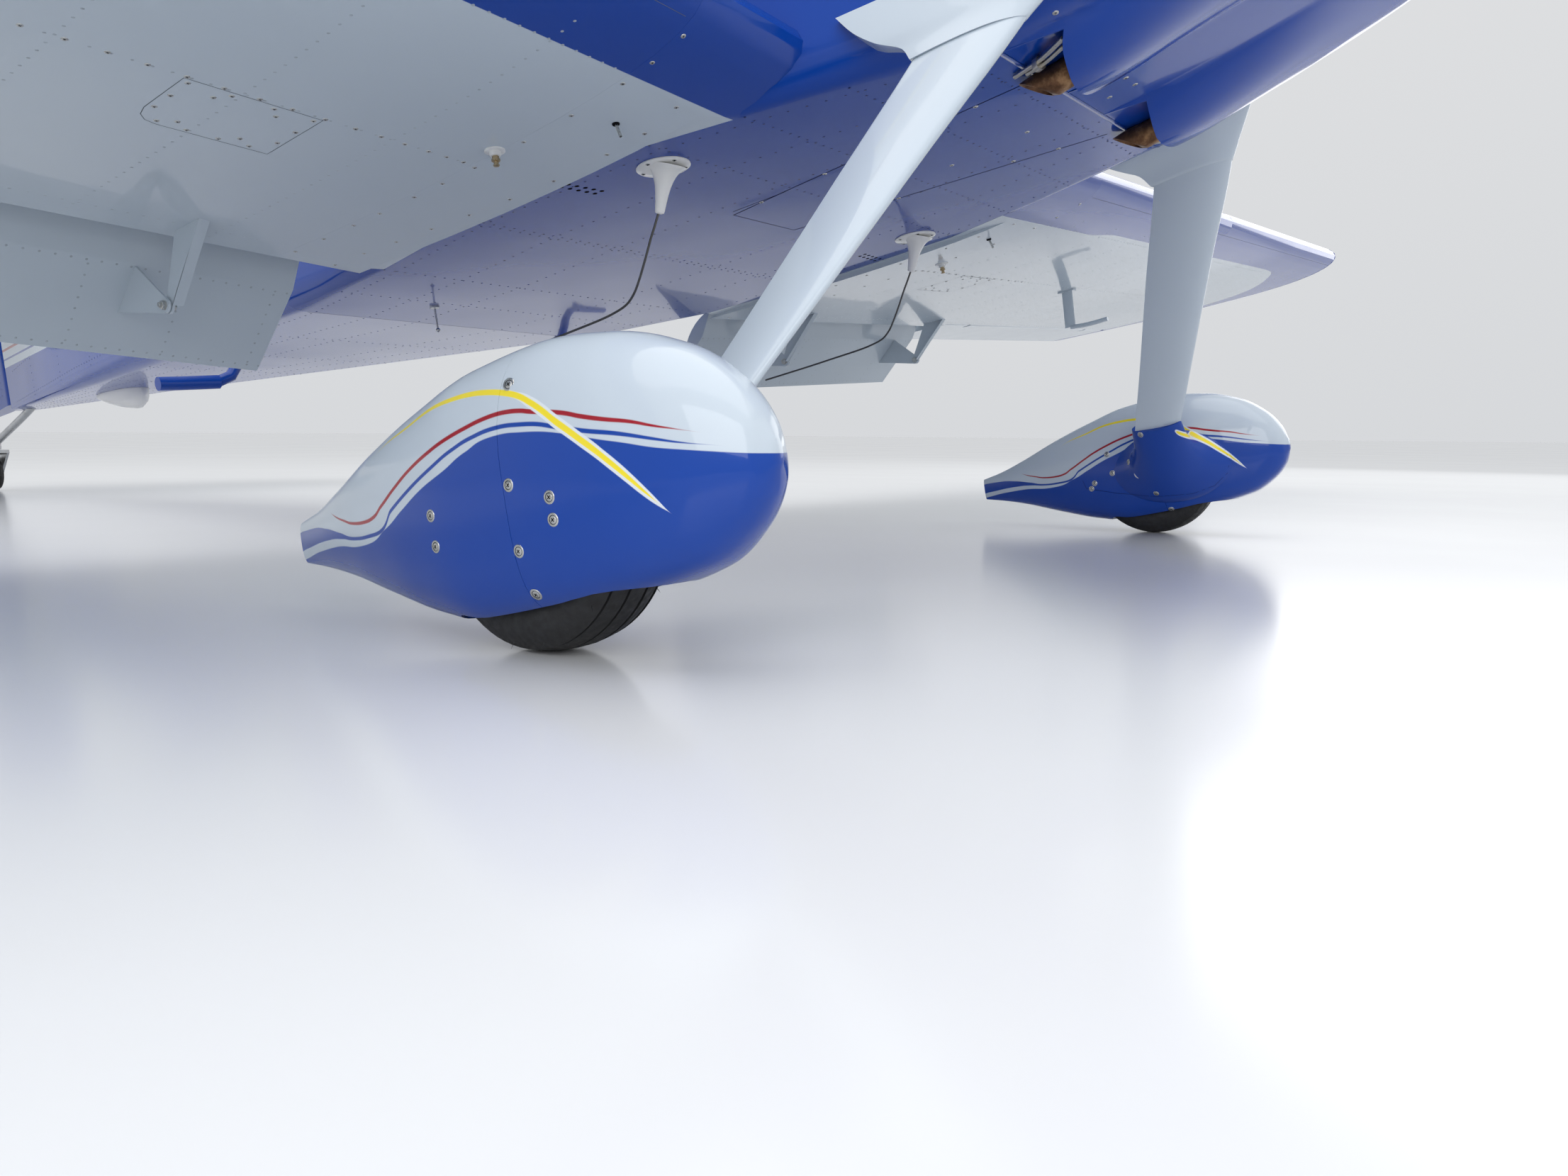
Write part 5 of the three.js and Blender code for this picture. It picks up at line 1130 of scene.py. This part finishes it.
# Fuel drains and tank vents: a brass sump valve in a white plastic cup under each wing root, and a
# cut-off alloy tube that vents each tank beside it.
brass = plain_coat("sump_valve_brass", (0.42, 0.33, 0.2), 0.25, 0.45, 1.0)
white_nylon = plain_coat("white_nylon", (0.75, 0.76, 0.76), 0.35, 0.5)
drain_cup = [(18, -1), (18, 1.5), (17, 2.2), (10, 2.4), (9.5, 9), (8.5, 10), (0, 10)]
drain_valve = [(6, 9), (6, 14), (7.5, 14.5), (7.5, 19), (4, 19.5), (4, 24), (5.5, 24.5), (5.5, 27), (0, 27.5)]
for side, which in both_sides:
    wing_skin = outside_of(wings[which], bpy.data.objects["wing_root_skin_" + which])
    spot, out = landing(wing_skin, (-395, side * 806, under_wing), up)
    turned("drain_cup_" + which, spot, out, drain_cup, 32, white_nylon)
    turned("drain_valve_" + which, spot, out, drain_valve, 6, brass, 20)
    spot, out = landing(wing_skin, (-200, side * 709, under_wing), up)
    turned("vent_grommet_" + which, spot, out, [(6.5, -1), (6.5, 2), (5, 3.2), (3, 3.2)], 20, black_and_recess_shade)
    turned("vent_tube_" + which, spot, out + heading((0.25, 0, 0)),
           [(2.8, -2), (2.8, 26), (2.1, 26), (2.1, 20), (0, 20)], 18, screw_steel)

# Flaps: riveted alloy skins, each hung under the wing on two brackets of flanged sheet, with a bolt and
# a nut through each hinge.
flap_pivot, under_flap = (-1120, 498.63), 200
flap_rivets = [(p.x, 740 + 188 * i) for i in range(8) for p in spaced((-1212, 0, 0), (-1352, 0, 0), 19)]
flap_rivets += [(x, p.y) for x in (-1205, -1358) for p in spaced((0, 712, 0), (0, 2046, 0), rivet_pitch)]
flap_bolt = [(9.5, -15), (9.5, -9.2), (9.5, -8.6), (10.5, -8.4), (10.5, -8)]
flap_nut = [(10.5, 5), (10.5, 5.6), (8.8, 5.8), (8.8, 11.5), (7, 12.5), (5, 12.5), (5, 16), (4, 17)]
for side, which in both_sides:
    flap = faired("flap_" + which, "flap_skin_" + which, enamel_grey, "flap_" + which)
    heads("flap_rivets_" + which, from_below(outside_of(flap), flap_rivets, side, under_flap), flush_rivet, 8,
          rivet_grey_painted_shade, "flap_" + which)
    for place, y in (("inner", 1026), ("outer", 1920)):
        name, rise = "_%s_%s" % (place, which), y * math.tan(dihedral)
        axis, outward = stood((flap_pivot[0], side * y, flap_pivot[1] + rise)), Vector((0, side, 0))
        turned("flap_bolt" + name, axis, outward, flap_bolt, 6, screw_steel, 20)
        turned("flap_nut" + name, axis, outward, flap_nut, 6, screw_steel, 20)
        front, eye = (-966, wing_middle(-966) - wing_half(-966) + 1), (-1106, flap_pivot[1] - 2)
        lean = Vector((eye[0] - front[0], 0, eye[1] - front[1])).normalized()
        proud = Vector((-lean.z, 0, lean.x)) * 1.6
        strip = lofted("flange", [[Vector((x, side * (y - wide), z + rise)) + proud * out
                                   for wide, out in ((3, 0), (24, 0), (24, 1), (3, 1))] for x, z in (front, eye)])
        own("flap_bracket_flange" + name, strip, enamel_grey)

# Tail: a one-piece stabilizer, an upright fin and balanced moving surfaces behind them on rod-end
# hinges. Riveted alloy skins over stamped ribs, with a trim tab let into the left elevator.
stabilizer = faired("horizontal_stabilizer", "stabilizer_skin", enamel_grey)
elevator = faired("elevators", "elevator_skins", enamel_grey, "elevators")
fin = faired("vertical_fin", "fin_skin", enamel_blue)
rudder = faired("rudder", "rudder_skin", enamel_blue, "rudder")
under_tail, tail_beside, tail_pitch = 1000, 300, 28
# Columns: piece, name, body, rib places, x of their ends, spar places, their ends, whether it stands upright
for piece, name, body, ribs, reach, lines, wide, upright in (
        (stabilizer, "stabilizer_rivets", "airframe", (150, 420, 690, 960, 1230, 1490), (-3890, -4196), (-3930, -4200),
         (70, 1500), False),
        (elevator, "elevator_rivets", "elevators", (300, 570, 840, 1110, 1380, 1630), (-4262, -4600), (-4262, -4604),
         (260, 1640), False),
        (fin, "fin_rivets", "airframe", (1500, 1740, 1980, 2220), (-4190, -4345), (-4200, -4340), (1420, 2260), True),
        (rudder, "rudder_rivets", "rudder", (1090, 1330, 1580, 1830, 2080, 2330), (-4400, -4715), (-4400, -4700),
         (1090, 2350), True)):
    skin = outside_of(piece)
    places = [(p.x, t) for t in ribs for p in spaced((reach[0], 0, 0), (reach[1], 0, 0), tail_pitch)]
    places += [(x, p.y) for x in lines for p in spaced((0, wide[0], 0), (0, wide[1], 0), tail_pitch)]
    spots = []
    for side in (-1, 1):
        if upright:
            spots += from_beside(skin, places, side, tail_beside)
        else:
            spots += from_above(skin, places, side) + from_below(skin, places, side, under_tail)
    heads(name, spots, flush_rivet, 8, rivet_blue_painted_shade if upright else rivet_grey_painted_shade, body)
tab = [(-4616, 330), (-4546, 330), (-4546, 790), (-4616, 790)]
for face, z, way in (("upper", over, down), ("lower", under_tail, up)):
    seam("trim_tab_gap_" + face, outside_of(elevator), [(x, y, z) for x, y in tab], way, seam_shade_grey, 2, "elevators")

# Main gear legs: sprung steel rods in grey glass-fibre fairings of streamline section. A collar
# fairs each to the belly, and a blue foot swells out to meet the wheel pant.
# Columns: height, x and y of the trailing edge, x and y of the leading edge
leg_rows = [(760, 337, 467, 520, 444), (653, 298, 546, 479, 526), (450, 199, 693, 357, 686),
            (250, 103, 840, 237, 844), (100, 30, 950, 147, 963), (0, -12, 1022, 88, 1036)]
# Columns: y and radius
axle_steps = [(1030, 15), (1058, 15), (1058, 30), (1096, 30), (1096, 15), (1214, 15)]
# Columns: height, thickness over the leg, length of its tail behind the leg
collar_rows = [(630, 4, 0), (655, 9, 24), (682, 20, 72), (715, 34, 112), (750, 50, 140)]
# Columns: y, x, z, rise of its length, its width's y and z, half-length, half-width
foot_rows = [(950, 90, 118, 0, 0.8, 0.6, 66, 26), (990, 84, 70, 0, 0.62, 0.78, 74, 40),
             (1040, 76, 34, -0.04, 0.3, 0.95, 104, 72), (1090, 64, 12, -0.06, 0.12, 0.99, 172, 104),
             (1130, 60, 8, -0.06, 0.12, 0.99, 190, 112)]


def leg_ring(row, grow, tail, side, sides=22):
    z, trail_x, trail_y, lead_x, lead_y = row
    nose, back = Vector((lead_x, lead_y, z)), Vector((trail_x, trail_y, z))
    chord = (back - nose).length
    along = (back - nose).normalized()
    across = Vector((-along.y, along.x, 0))
    ring = []
    for i in range(2 * sides):
        turn = math.pi * i / sides
        f = (1 - math.cos(turn)) / 2
        half = foil_half(f, 0.25) * chord + 2 * f + grow * min(1, 4 * f)
        aft = f * chord + grow * (2 * f - 1) + tail * max(0, (f - 0.38) / 0.62) ** 2
        p = nose + along * aft + across * half * (1 if i <= sides else -1)
        ring.append((p.x, side * p.y, p.z))
    return ring


hull_solid = lofted("hull", [cowl_ring((*straight_row(hull_frames, x), 0)) for x in (345, 20, -250, -500)])
for side, which in both_sides:
    rows = [row for row in eased(leg_rows, 6) if 90 <= row[0] <= 712]
    leg = lofted("gear_leg_fairing", [leg_ring(row, 0, 0, side) for row in rows], 50)
    axle = lofted("axle", [oval((0, side * y, 0), (1, 0, 0), (0, 0, 1), r, r, 24) for y, r in axle_steps], 40)
    own("gear_leg_fairing_" + which, leg, enamel_grey, "airframe", "gear_leg_" + which)
    own("axle_" + which, axle, stainless)
    collar = lofted("leg_collar", [leg_ring(straight_row(leg_rows, z), thicker, tail, side)
                                   for z, thicker, tail in eased(collar_rows, 5)])
    collar = smooth(cut(collar, cowl_outer, hull_solid), 60)
    own("leg_collar_" + which, collar, enamel_grey, "airframe", "leg_root_fairing_" + which)

# Wheel pants: glass-fibre fairings in two halves that screw together round the tyre, with the
# aircraft's livery masked over them.
# Columns: x, bottom, top, half-width, how square the lower half is
pant_rows = [
    (366, 2, 28, 8, 0.88), (352, -34, 68, 36, 0.88), (320, -68, 113, 60, 0.85), (262, -100, 158, 84, 0.76),
    (170, -116, 193, 102, 0.6), (60, -126, 208, 107, 0.52), (-60, -130, 201, 106, 0.52),
    (-170, -110, 176, 97, 0.64), (-290, -73, 141, 76, 0.8), (-400, -34, 102, 49, 0.88),
    (-480, -11, 78, 26, 0.88), (-541, 3, 66, 8, 0.88),
]
wheel_out = 1178
coach_white = (0.70, 0.75, 0.80)
pant_seam, seam_gap, pant_wall = 42, 0.35, 5
pant_blue_top = [(-541, 9), (-523, 10), (-461, 13), (-385, 12), (-286, 3), (-219, 15), (-166, 34), (-113, 54),
                 (-64, 68), (-17, 84), (37, 93), (81, 89), (159, 72), (192, 61), (225, 51), (265, 38),
                 (300, 29), (332, 21), (357, 15), (367, 13)]
pant_thin_blue = [(-541, 36), (-526, 37), (-475, 37), (-414, 33), (-363, 25), (-310, 15), (-276, 13), (-250, 13),
                  (-193, 37), (-135, 60), (-86, 77), (-43, 91), (-4, 99), (34, 102), (81, 98), (146, 82),
                  (180, 72), (219, 62), (263, 48), (294, 38), (327, 29), (337, 26)]
pant_red = [(-400, 66), (-387, 59), (-342, 44), (-302, 35), (-269, 33), (-253, 34), (-219, 46), (-175, 66),
            (-138, 82), (-95, 96), (-57, 106), (-17, 113), (15, 117), (40, 118), (59, 117), (81, 114),
            (97, 110), (146, 99), (176, 89), (206, 80), (236, 72), (264, 62), (285, 55), (306, 48), (318, 44)]
pant_yellow = [(-262, 108), (-236, 125), (-165, 141), (-106, 154), (-57, 156), (-16, 154), (12, 150), (48, 142),
               (75, 133), (97, 121), (119, 106), (135, 93), (156, 77), (171, 65), (188, 51), (204, 36),
               (223, 17), (241, -3), (254, -18), (269, -36)]


def crossing_stripe(tree, along, height, under, white, yellow):
    colour = masked(tree, under, coach_white, stripe(tree, along, height, pant_yellow, white + [(204, 7), (269, 0)]))
    return masked(tree, colour, coach_yellow, stripe(tree, along, height, pant_yellow, yellow + [(204, 3.6), (262, 0)]))


def pant_livery(tree, along, across, height):
    colour = masked(tree, light_grey, coach_red, stripe(
        tree, along, height, pant_red, [(-400, 0), (-342, 2.2), (-200, 3), (40, 3.4), (180, 3.2), (318, 0)]))
    colour = masked(tree, colour, blue, stripe(
        tree, along, height, pant_thin_blue,
        [(-541, 15), (-475, 13), (-414, 9), (-363, 5), (-310, 3), (-193, 3), (146, 3.2), (219, 3), (337, 0)]))
    colour = masked(tree, colour, blue, below(tree, height, drawn_line(tree, along, pant_blue_top)))
    return crossing_stripe(tree, along, height, colour, [(-262, 0), (60, 4), (97, 7), (135, 7.4)],
                           [(-262, 0), (-165, 2.6), (-57, 3.8), (75, 4.2), (156, 4.2)])


def foot_livery(tree, along, across, height):
    return crossing_stripe(tree, along, height, blue, [(138, 0), (146, 7)], [(140, 0), (148, 4.2)])


enamel_pant = enamel("enamel_pant_livery", pant_livery, 0.0)
enamel_foot = enamel("enamel_foot_livery", foot_livery, 0.0)


def pant_ring(row, inset, side, sides=64):
    x, low, high, half, round_ = row
    middle = (low + high) / 2
    tall, wide = max((high - low) / 2 - inset, 1), max(half - inset, 1)
    ring = []
    for i in range(sides):
        a = 2 * math.pi * (i + 0.5) / sides
        c, s = math.cos(a), math.sin(a)
        power = round_ if s < 0 else 0.88
        out, rise = (math.copysign(abs(v) ** power, v) for v in (c, s))
        ring.append((x, side * (wheel_out + wide * out), middle + tall * rise))
    return ring


fine_rows = eased(pant_rows, 6)
pant_screw = [(8.2, 0.0), (7.9, 0.6), (5.7, 0.5), (4.9, 0.2), (4.6, 0.5), (4.1, 0.8), (0, 0.9)]
slot_front, slot_back, slot_half, slot_nose, slot_heel = 214, -142, 74, 120, 40
outboard, crown_lean = 1400, (0.25, 0.45)
slot_turns = [math.pi * i / 12 for i in range(13)]
slot_outline = [(slot_front - slot_nose * (1 - math.sin(a)), -slot_half * math.cos(a)) for a in slot_turns]
slot_outline += [(slot_back + slot_heel * (1 - math.sin(a)), slot_half * math.cos(a)) for a in slot_turns]
outboard_screws = [(57, 150), (52, 32), (115, 8), (115, -18), (50, -46), (51, -99), (-101, 18), (-101, -21)]
foot_edge = [(-186, 8), (-178, -17), (-86, -45), (30, -72), (126, -79), (184, -66), (220, -38), (231, -5), (222, 25)]
inboard_screws = [(49, 98), (-30, 36), (-92, 14), (-150, -6), (-162, -20), (32, -63), (51, -112), (-101, 70)]
for side, which in both_sides:
    foot = lofted("leg_foot", [oval((x, side * y, z), (1, 0, rise), (0, side * wide_y, wide_z), long, short)
                               for y, x, z, rise, wide_y, wide_z, long, short in eased(foot_rows, 6)])
    grown = lofted("pant", [pant_ring(row, -0.3, side) for row in fine_rows])
    foot = smooth(cut(foot, grown, block(-300, 500, side * 1095, side * 1400, -300, 400)), 60)
    feet = own("leg_foot_" + which, foot, enamel_foot, "airframe", "leg_foot_fairing_" + which)
    outer = lofted("pant", [pant_ring(row, 0, side) for row in fine_rows])
    inner = lofted("inside", [pant_ring(row, pant_wall, side) for row in fine_rows[10:-6]])
    slot = lofted("slot", [[(x, side * wheel_out + y, z) for x, y in slot_outline] for z in (-200, -60)])
    leg_hole = lofted("leg_hole", [leg_ring(row, 4, 0, side, 10) for row in eased(leg_rows, 3) if row[0] <= 300])
    shell = cut(outer, inner, slot, leg_hole)
    pieces = [feet]
    for part, ends in (("front", (pant_seam + seam_gap, 500)), ("rear", (-700, pant_seam - seam_gap))):
        half = cut(shell.copy(), block(*ends, side * wheel_out - 300, side * wheel_out + 300, -300, 400),
                   how="INTERSECT")
        node = "wheel_pant_%s_%s" % (part, which)
        piece = own("pant_%s_shell_%s" % (part, which), smooth(half, 40), enamel_pant, "airframe", node)
        pieces.insert(-1, piece)
    pant_skin = outside_of(*pieces)
    spots = from_beside(pant_skin, outboard_screws, side, outboard)
    # The screw on the crown leans forward and outboard
    lean = Vector((crown_lean[0], side * crown_lean[1], 0))
    spots = [(spot + out * 0.8 * mm, (out + lean).normalized()) if out.z > 0.3 else (spot, out) for spot, out in spots]
    spots += landings(pant_skin, [(x, side * beside, z) for x, z in inboard_screws], inward[-side])
    edge = [(x, side * beside, z) for x, z in foot_edge]
    seam("foot_edge_" + which, pant_skin, edge, inward[-side], seam_shadow, 1.0)
    heads("pant_screws_" + which, spots, pant_screw, 28, screw_finish, cross=(2.8, 0.6, 0.97), groove=2)

# Wheels: ribbed five-inch aircraft tyres, moulding nibs still on them, on split cast-alloy rims.
# Each turns on its leg's axle inside the pant.
tyre_rubber = coated("tyre_rubber", (0.012, 0.012, 0.013), (14.0, 0.35), (90.0, 0.5, 0.75),
                     [(700.0, 3.0, 0.3, 0.0004)])
cast_alloy = bare_metal("cast_alloy", (0.6, 0.61, 0.62), 0.4, (120, 120, 120), 0.0003)
tyre_radius, bead = 173, 66


def tyre_profile():
    """From bead to bead over the tread: (radius, place across), with four grooves in the tread."""
    def crown(y):
        return tyre_radius - 9 * (abs(y) / 50) ** 2.2

    wall = [(bead, -39), (bead + 4, -46), (96, -58), (118, -62.6), (134, -62.6), (147, -59), (158, -52.5)]
    tread = [(-50, 160.6), (50, 160.6)]
    for groove in (-41, -15, 15, 41):
        rim = crown(groove)
        tread += [(groove + y, rim - deep) for y, deep in ((-2.2, 0), (-1.6, 3.6), (1.6, 3.6), (2.2, 0))]
        if groove < 41:
            tread += [(groove + y, crown(groove + y)) for y in (9, 18)]
    return wall + [(r, y) for y, r in sorted(tread)] + [(r, -y) for r, y in wall[::-1]]


profile, tyre_steps, nib_pairs = tyre_profile(), 72, 34
for side, which in both_sides:
    centre = Vector((0, side * wheel_out, 0))
    turns = [2 * math.pi * i / tyre_steps for i in range(tyre_steps)]
    tyre = lofted("tyre", [[centre + Vector((r * math.cos(a), y, r * math.sin(a))) for r, y in profile]
                           for a in turns], 35, "joined")
    tyre_piece = own("tyre_carcass_" + which, tyre, tyre_rubber, "wheel_" + which, "tyre_" + which)
    nibs = bmesh.new()
    for i, edge in ((i, edge) for i in range(nib_pairs) for edge in (-1, 1)):
        a = 2 * math.pi * (i + 0.25 * edge) / nib_pairs + 0.4 * math.sin(i * 5.3)
        out = Vector((math.cos(a), edge * 0.45, math.sin(a))).normalized()
        root = centre + Vector((159 * math.cos(a), edge * 52, 159 * math.sin(a)))
        length = 5 + 2.5 * math.sin(i * 3.1)
        bend = Vector((math.sin(i * 2.7), math.sin(i * 1.9), math.cos(i * 2.3))) * 0.35
        across = out.orthogonal().normalized()
        other = out.cross(across)
        skinned(nibs, [[stood(p) for p in oval(root + out * length * share + bend * length * share ** 2,
                                               across, other, r, r, 3)]
                       for share, r in ((0, 0.6), (0.5, 0.45), (1, 0.15))], "open")
    own("tyre_moulding_nibs_" + which, finished_mesh("tyre_nibs", nibs), tyre_rubber, "wheel_" + which)
    faired("wheel_rim_" + which, "rim_halves_" + which, cast_alloy, "wheel_" + which, 30)

# Tail gear: a tapered steel spring rod clamped in the tail, a machined fork that swivels on its end,
# and a solid rubber wheel between the fork's arms.
faired("tail_spring", "tail_spring_rod", stainless, angle=40)
faired("tailwheel_fork", "tail_fork", stainless, "tailwheel_fork", 30)
faired("tailwheel", "tail_tyre", tyre_rubber, "tailwheel", 30)

# Fittings: two bent whip antennas on white moulded cones, a rod antenna, a boat-shaped antenna under
# the tail cone, steel boarding steps behind the wing and a pitot tube under the left wing.
white_plastic = enamel("white_moulding", (0.82, 0.82, 0.8), 0.0)
whip_steel = plain_coat("whip_steel", (0.09, 0.09, 0.09), 0.3, 0.45, 0.8)
cone_profile = [(40, 1), (39, -1.5), (33, -5.5), (27, -11), (22.5, -18), (18.5, -28), (15.5, -38), (13, -52),
                (11, -68), (9.6, -82), (8.6, -86), (4, -88), (0, -88.2)]
whip_route = [(-322, 483, 590), (-337, 483.5, 567), (-352, 484, 545), (-373, 484.5, 511), (-395, 485, 478),
              (-413, 485.5, 456), (-437, 486, 440), (-475, 486.5, 432), (-520, 487, 428), (-600, 488, 424.5),
              (-680, 489, 421), (-830, 490, 416)]
flange_steps = ((52, 667.6), (51.8, 665.6), (50, 664.4), (34, 663.4))
lean, whip_out, belly_skin, screw_circle = math.radians(21), 482, 667.6, 43
for side, which in both_sides:
    rings = [oval((-291 + h * math.sin(lean), side * whip_out, 667.7 + h * math.cos(lean)),
                  (math.cos(lean), 0, -math.sin(lean)), (0, side, 0), r, r, 40) for r, h in cone_profile]
    cone = cut(lofted("whip_cone", rings),
               block(-420, -180, side * whip_out - 80, side * whip_out + 80, belly_skin, 720))
    own("whip_cone_" + which, smooth(cone, 40), white_plastic, "airframe", "whip_antenna_" + which)
    flange = lofted("whip_flange", [oval((-296, side * whip_out, z), (1, 0, 0), (0, 1, 0), r, r)
                                    for r, z in flange_steps], 40)
    flange_piece = own("whip_flange_" + which, flange, white_plastic)
    turns = [math.radians(20 + 72 * i) for i in range(5)]
    starts = [(-296 + screw_circle * math.cos(a), side * (whip_out + screw_circle * math.sin(a)), under)
              for a in turns]
    heads("whip_screws_" + which, landings(outside_of(flange_piece), starts, up), [(4.2, 0.0), (4, 0.8), (0, 1.2)],
          14, screw_finish, cross=(3.2, 1.1, 1.25))
    own("whip_rod_" + which, rod_mesh("whip_rod", [(x, side * y, z) for x, y, z in whip_route], 2.3), whip_steel)
for side, which in both_sides:
    faired("boarding_step_" + which, "step_" + which, enamel_blue, angle=50)
faired("pitot_tube", "pitot_mast", enamel_grey, angle=50)
faired("underside_antenna", "belly_blade", white_plastic, angle=50)
faired("rod_antenna", "rod_mast", stainless, angle=50)

# Floor, light and camera: pale epoxy floor, a wide soft sky of studio light, and the eye at the height
# of the near wheel, looking forward across the belly.
floor_paint = coated("floor_epoxy", (0.74, 0.752, 0.768), (0.8, 0.004), (0.9, 0.17, 0.185))
plane = bmesh.new()
floor_reach = 90
for x, y in ((-1, -1), (1, -1), (1, 1), (-1, 1)):
    plane.verts.new((x * floor_reach, y * floor_reach, 0))
plane.faces.new(plane.verts)
floor = placed("floor", finished_mesh("floor", plane))
floor.data.materials.append(floor_paint)

world = bpy.data.worlds.new("studio")
bpy.context.scene.world = world
world.use_nodes = True
sky = world.node_tree
background = sky.nodes["Background"]
way = put(sky, "TexCoord").outputs["Generated"]
height = put(sky, "SeparateXYZ", {"Vector": way}).outputs[2]
glow = put(sky, "ValToRGB", {"Fac": ranged(sky, height, -0.2, 1.0)})
glow.color_ramp.elements[0].color = (0.78, 0.8, 0.83, 1)
glow.color_ramp.elements[1].color = (1.0, 1.0, 1.0, 1)
sky.links.new(glow.outputs[0], background.inputs["Color"])
background.inputs["Strength"].default_value = 0.83


def soft_box(name, place, aim, size, power):
    lamp = bpy.data.lights.new(name, "AREA")
    lamp.shape, lamp.size, lamp.size_y, lamp.energy = "RECTANGLE", *size, power
    light = placed(name, lamp)
    light.location = place
    light.rotation_euler = (Vector(aim) - Vector(place)).to_track_quat("-Z", "Y").to_euler()


soft_box("light_over", (1.0, -1.0, 7.0), (0, 0, 0), (10, 8), 320)
soft_box("light_near", (5.5, -6.0, 3.4), (0.8, 0, 0.4), (6, 4), 200)
soft_box("light_far", (3.0, 8.0, 3.0), (1.5, 0, 0.6), (7, 4), 130)
bpy.context.scene.view_settings.view_transform = "Standard"

eye = Vector((2.97698, -2.220, 0.2767))
yaw, pitch, roll = (math.radians(a) for a in (-35.52, -7.49, 0.38))
forward = Vector((math.sin(yaw) * math.cos(pitch), math.cos(yaw) * math.cos(pitch), math.sin(pitch)))
flat_right = Vector((math.cos(yaw), -math.sin(yaw), 0))
flat_up = flat_right.cross(forward)
right = flat_right * math.cos(roll) + flat_up * math.sin(roll)
eye_up = flat_up * math.cos(roll) - flat_right * math.sin(roll)
lens = bpy.data.cameras.new("camera")
lens.sensor_width, lens.lens = 36.0, 27.052
lens.clip_start = 0.02
camera = placed("camera", lens)
camera.matrix_world = Matrix.Translation(eye) @ Matrix((right, eye_up, -forward)).transposed().to_4x4()
bpy.context.scene.camera = camera
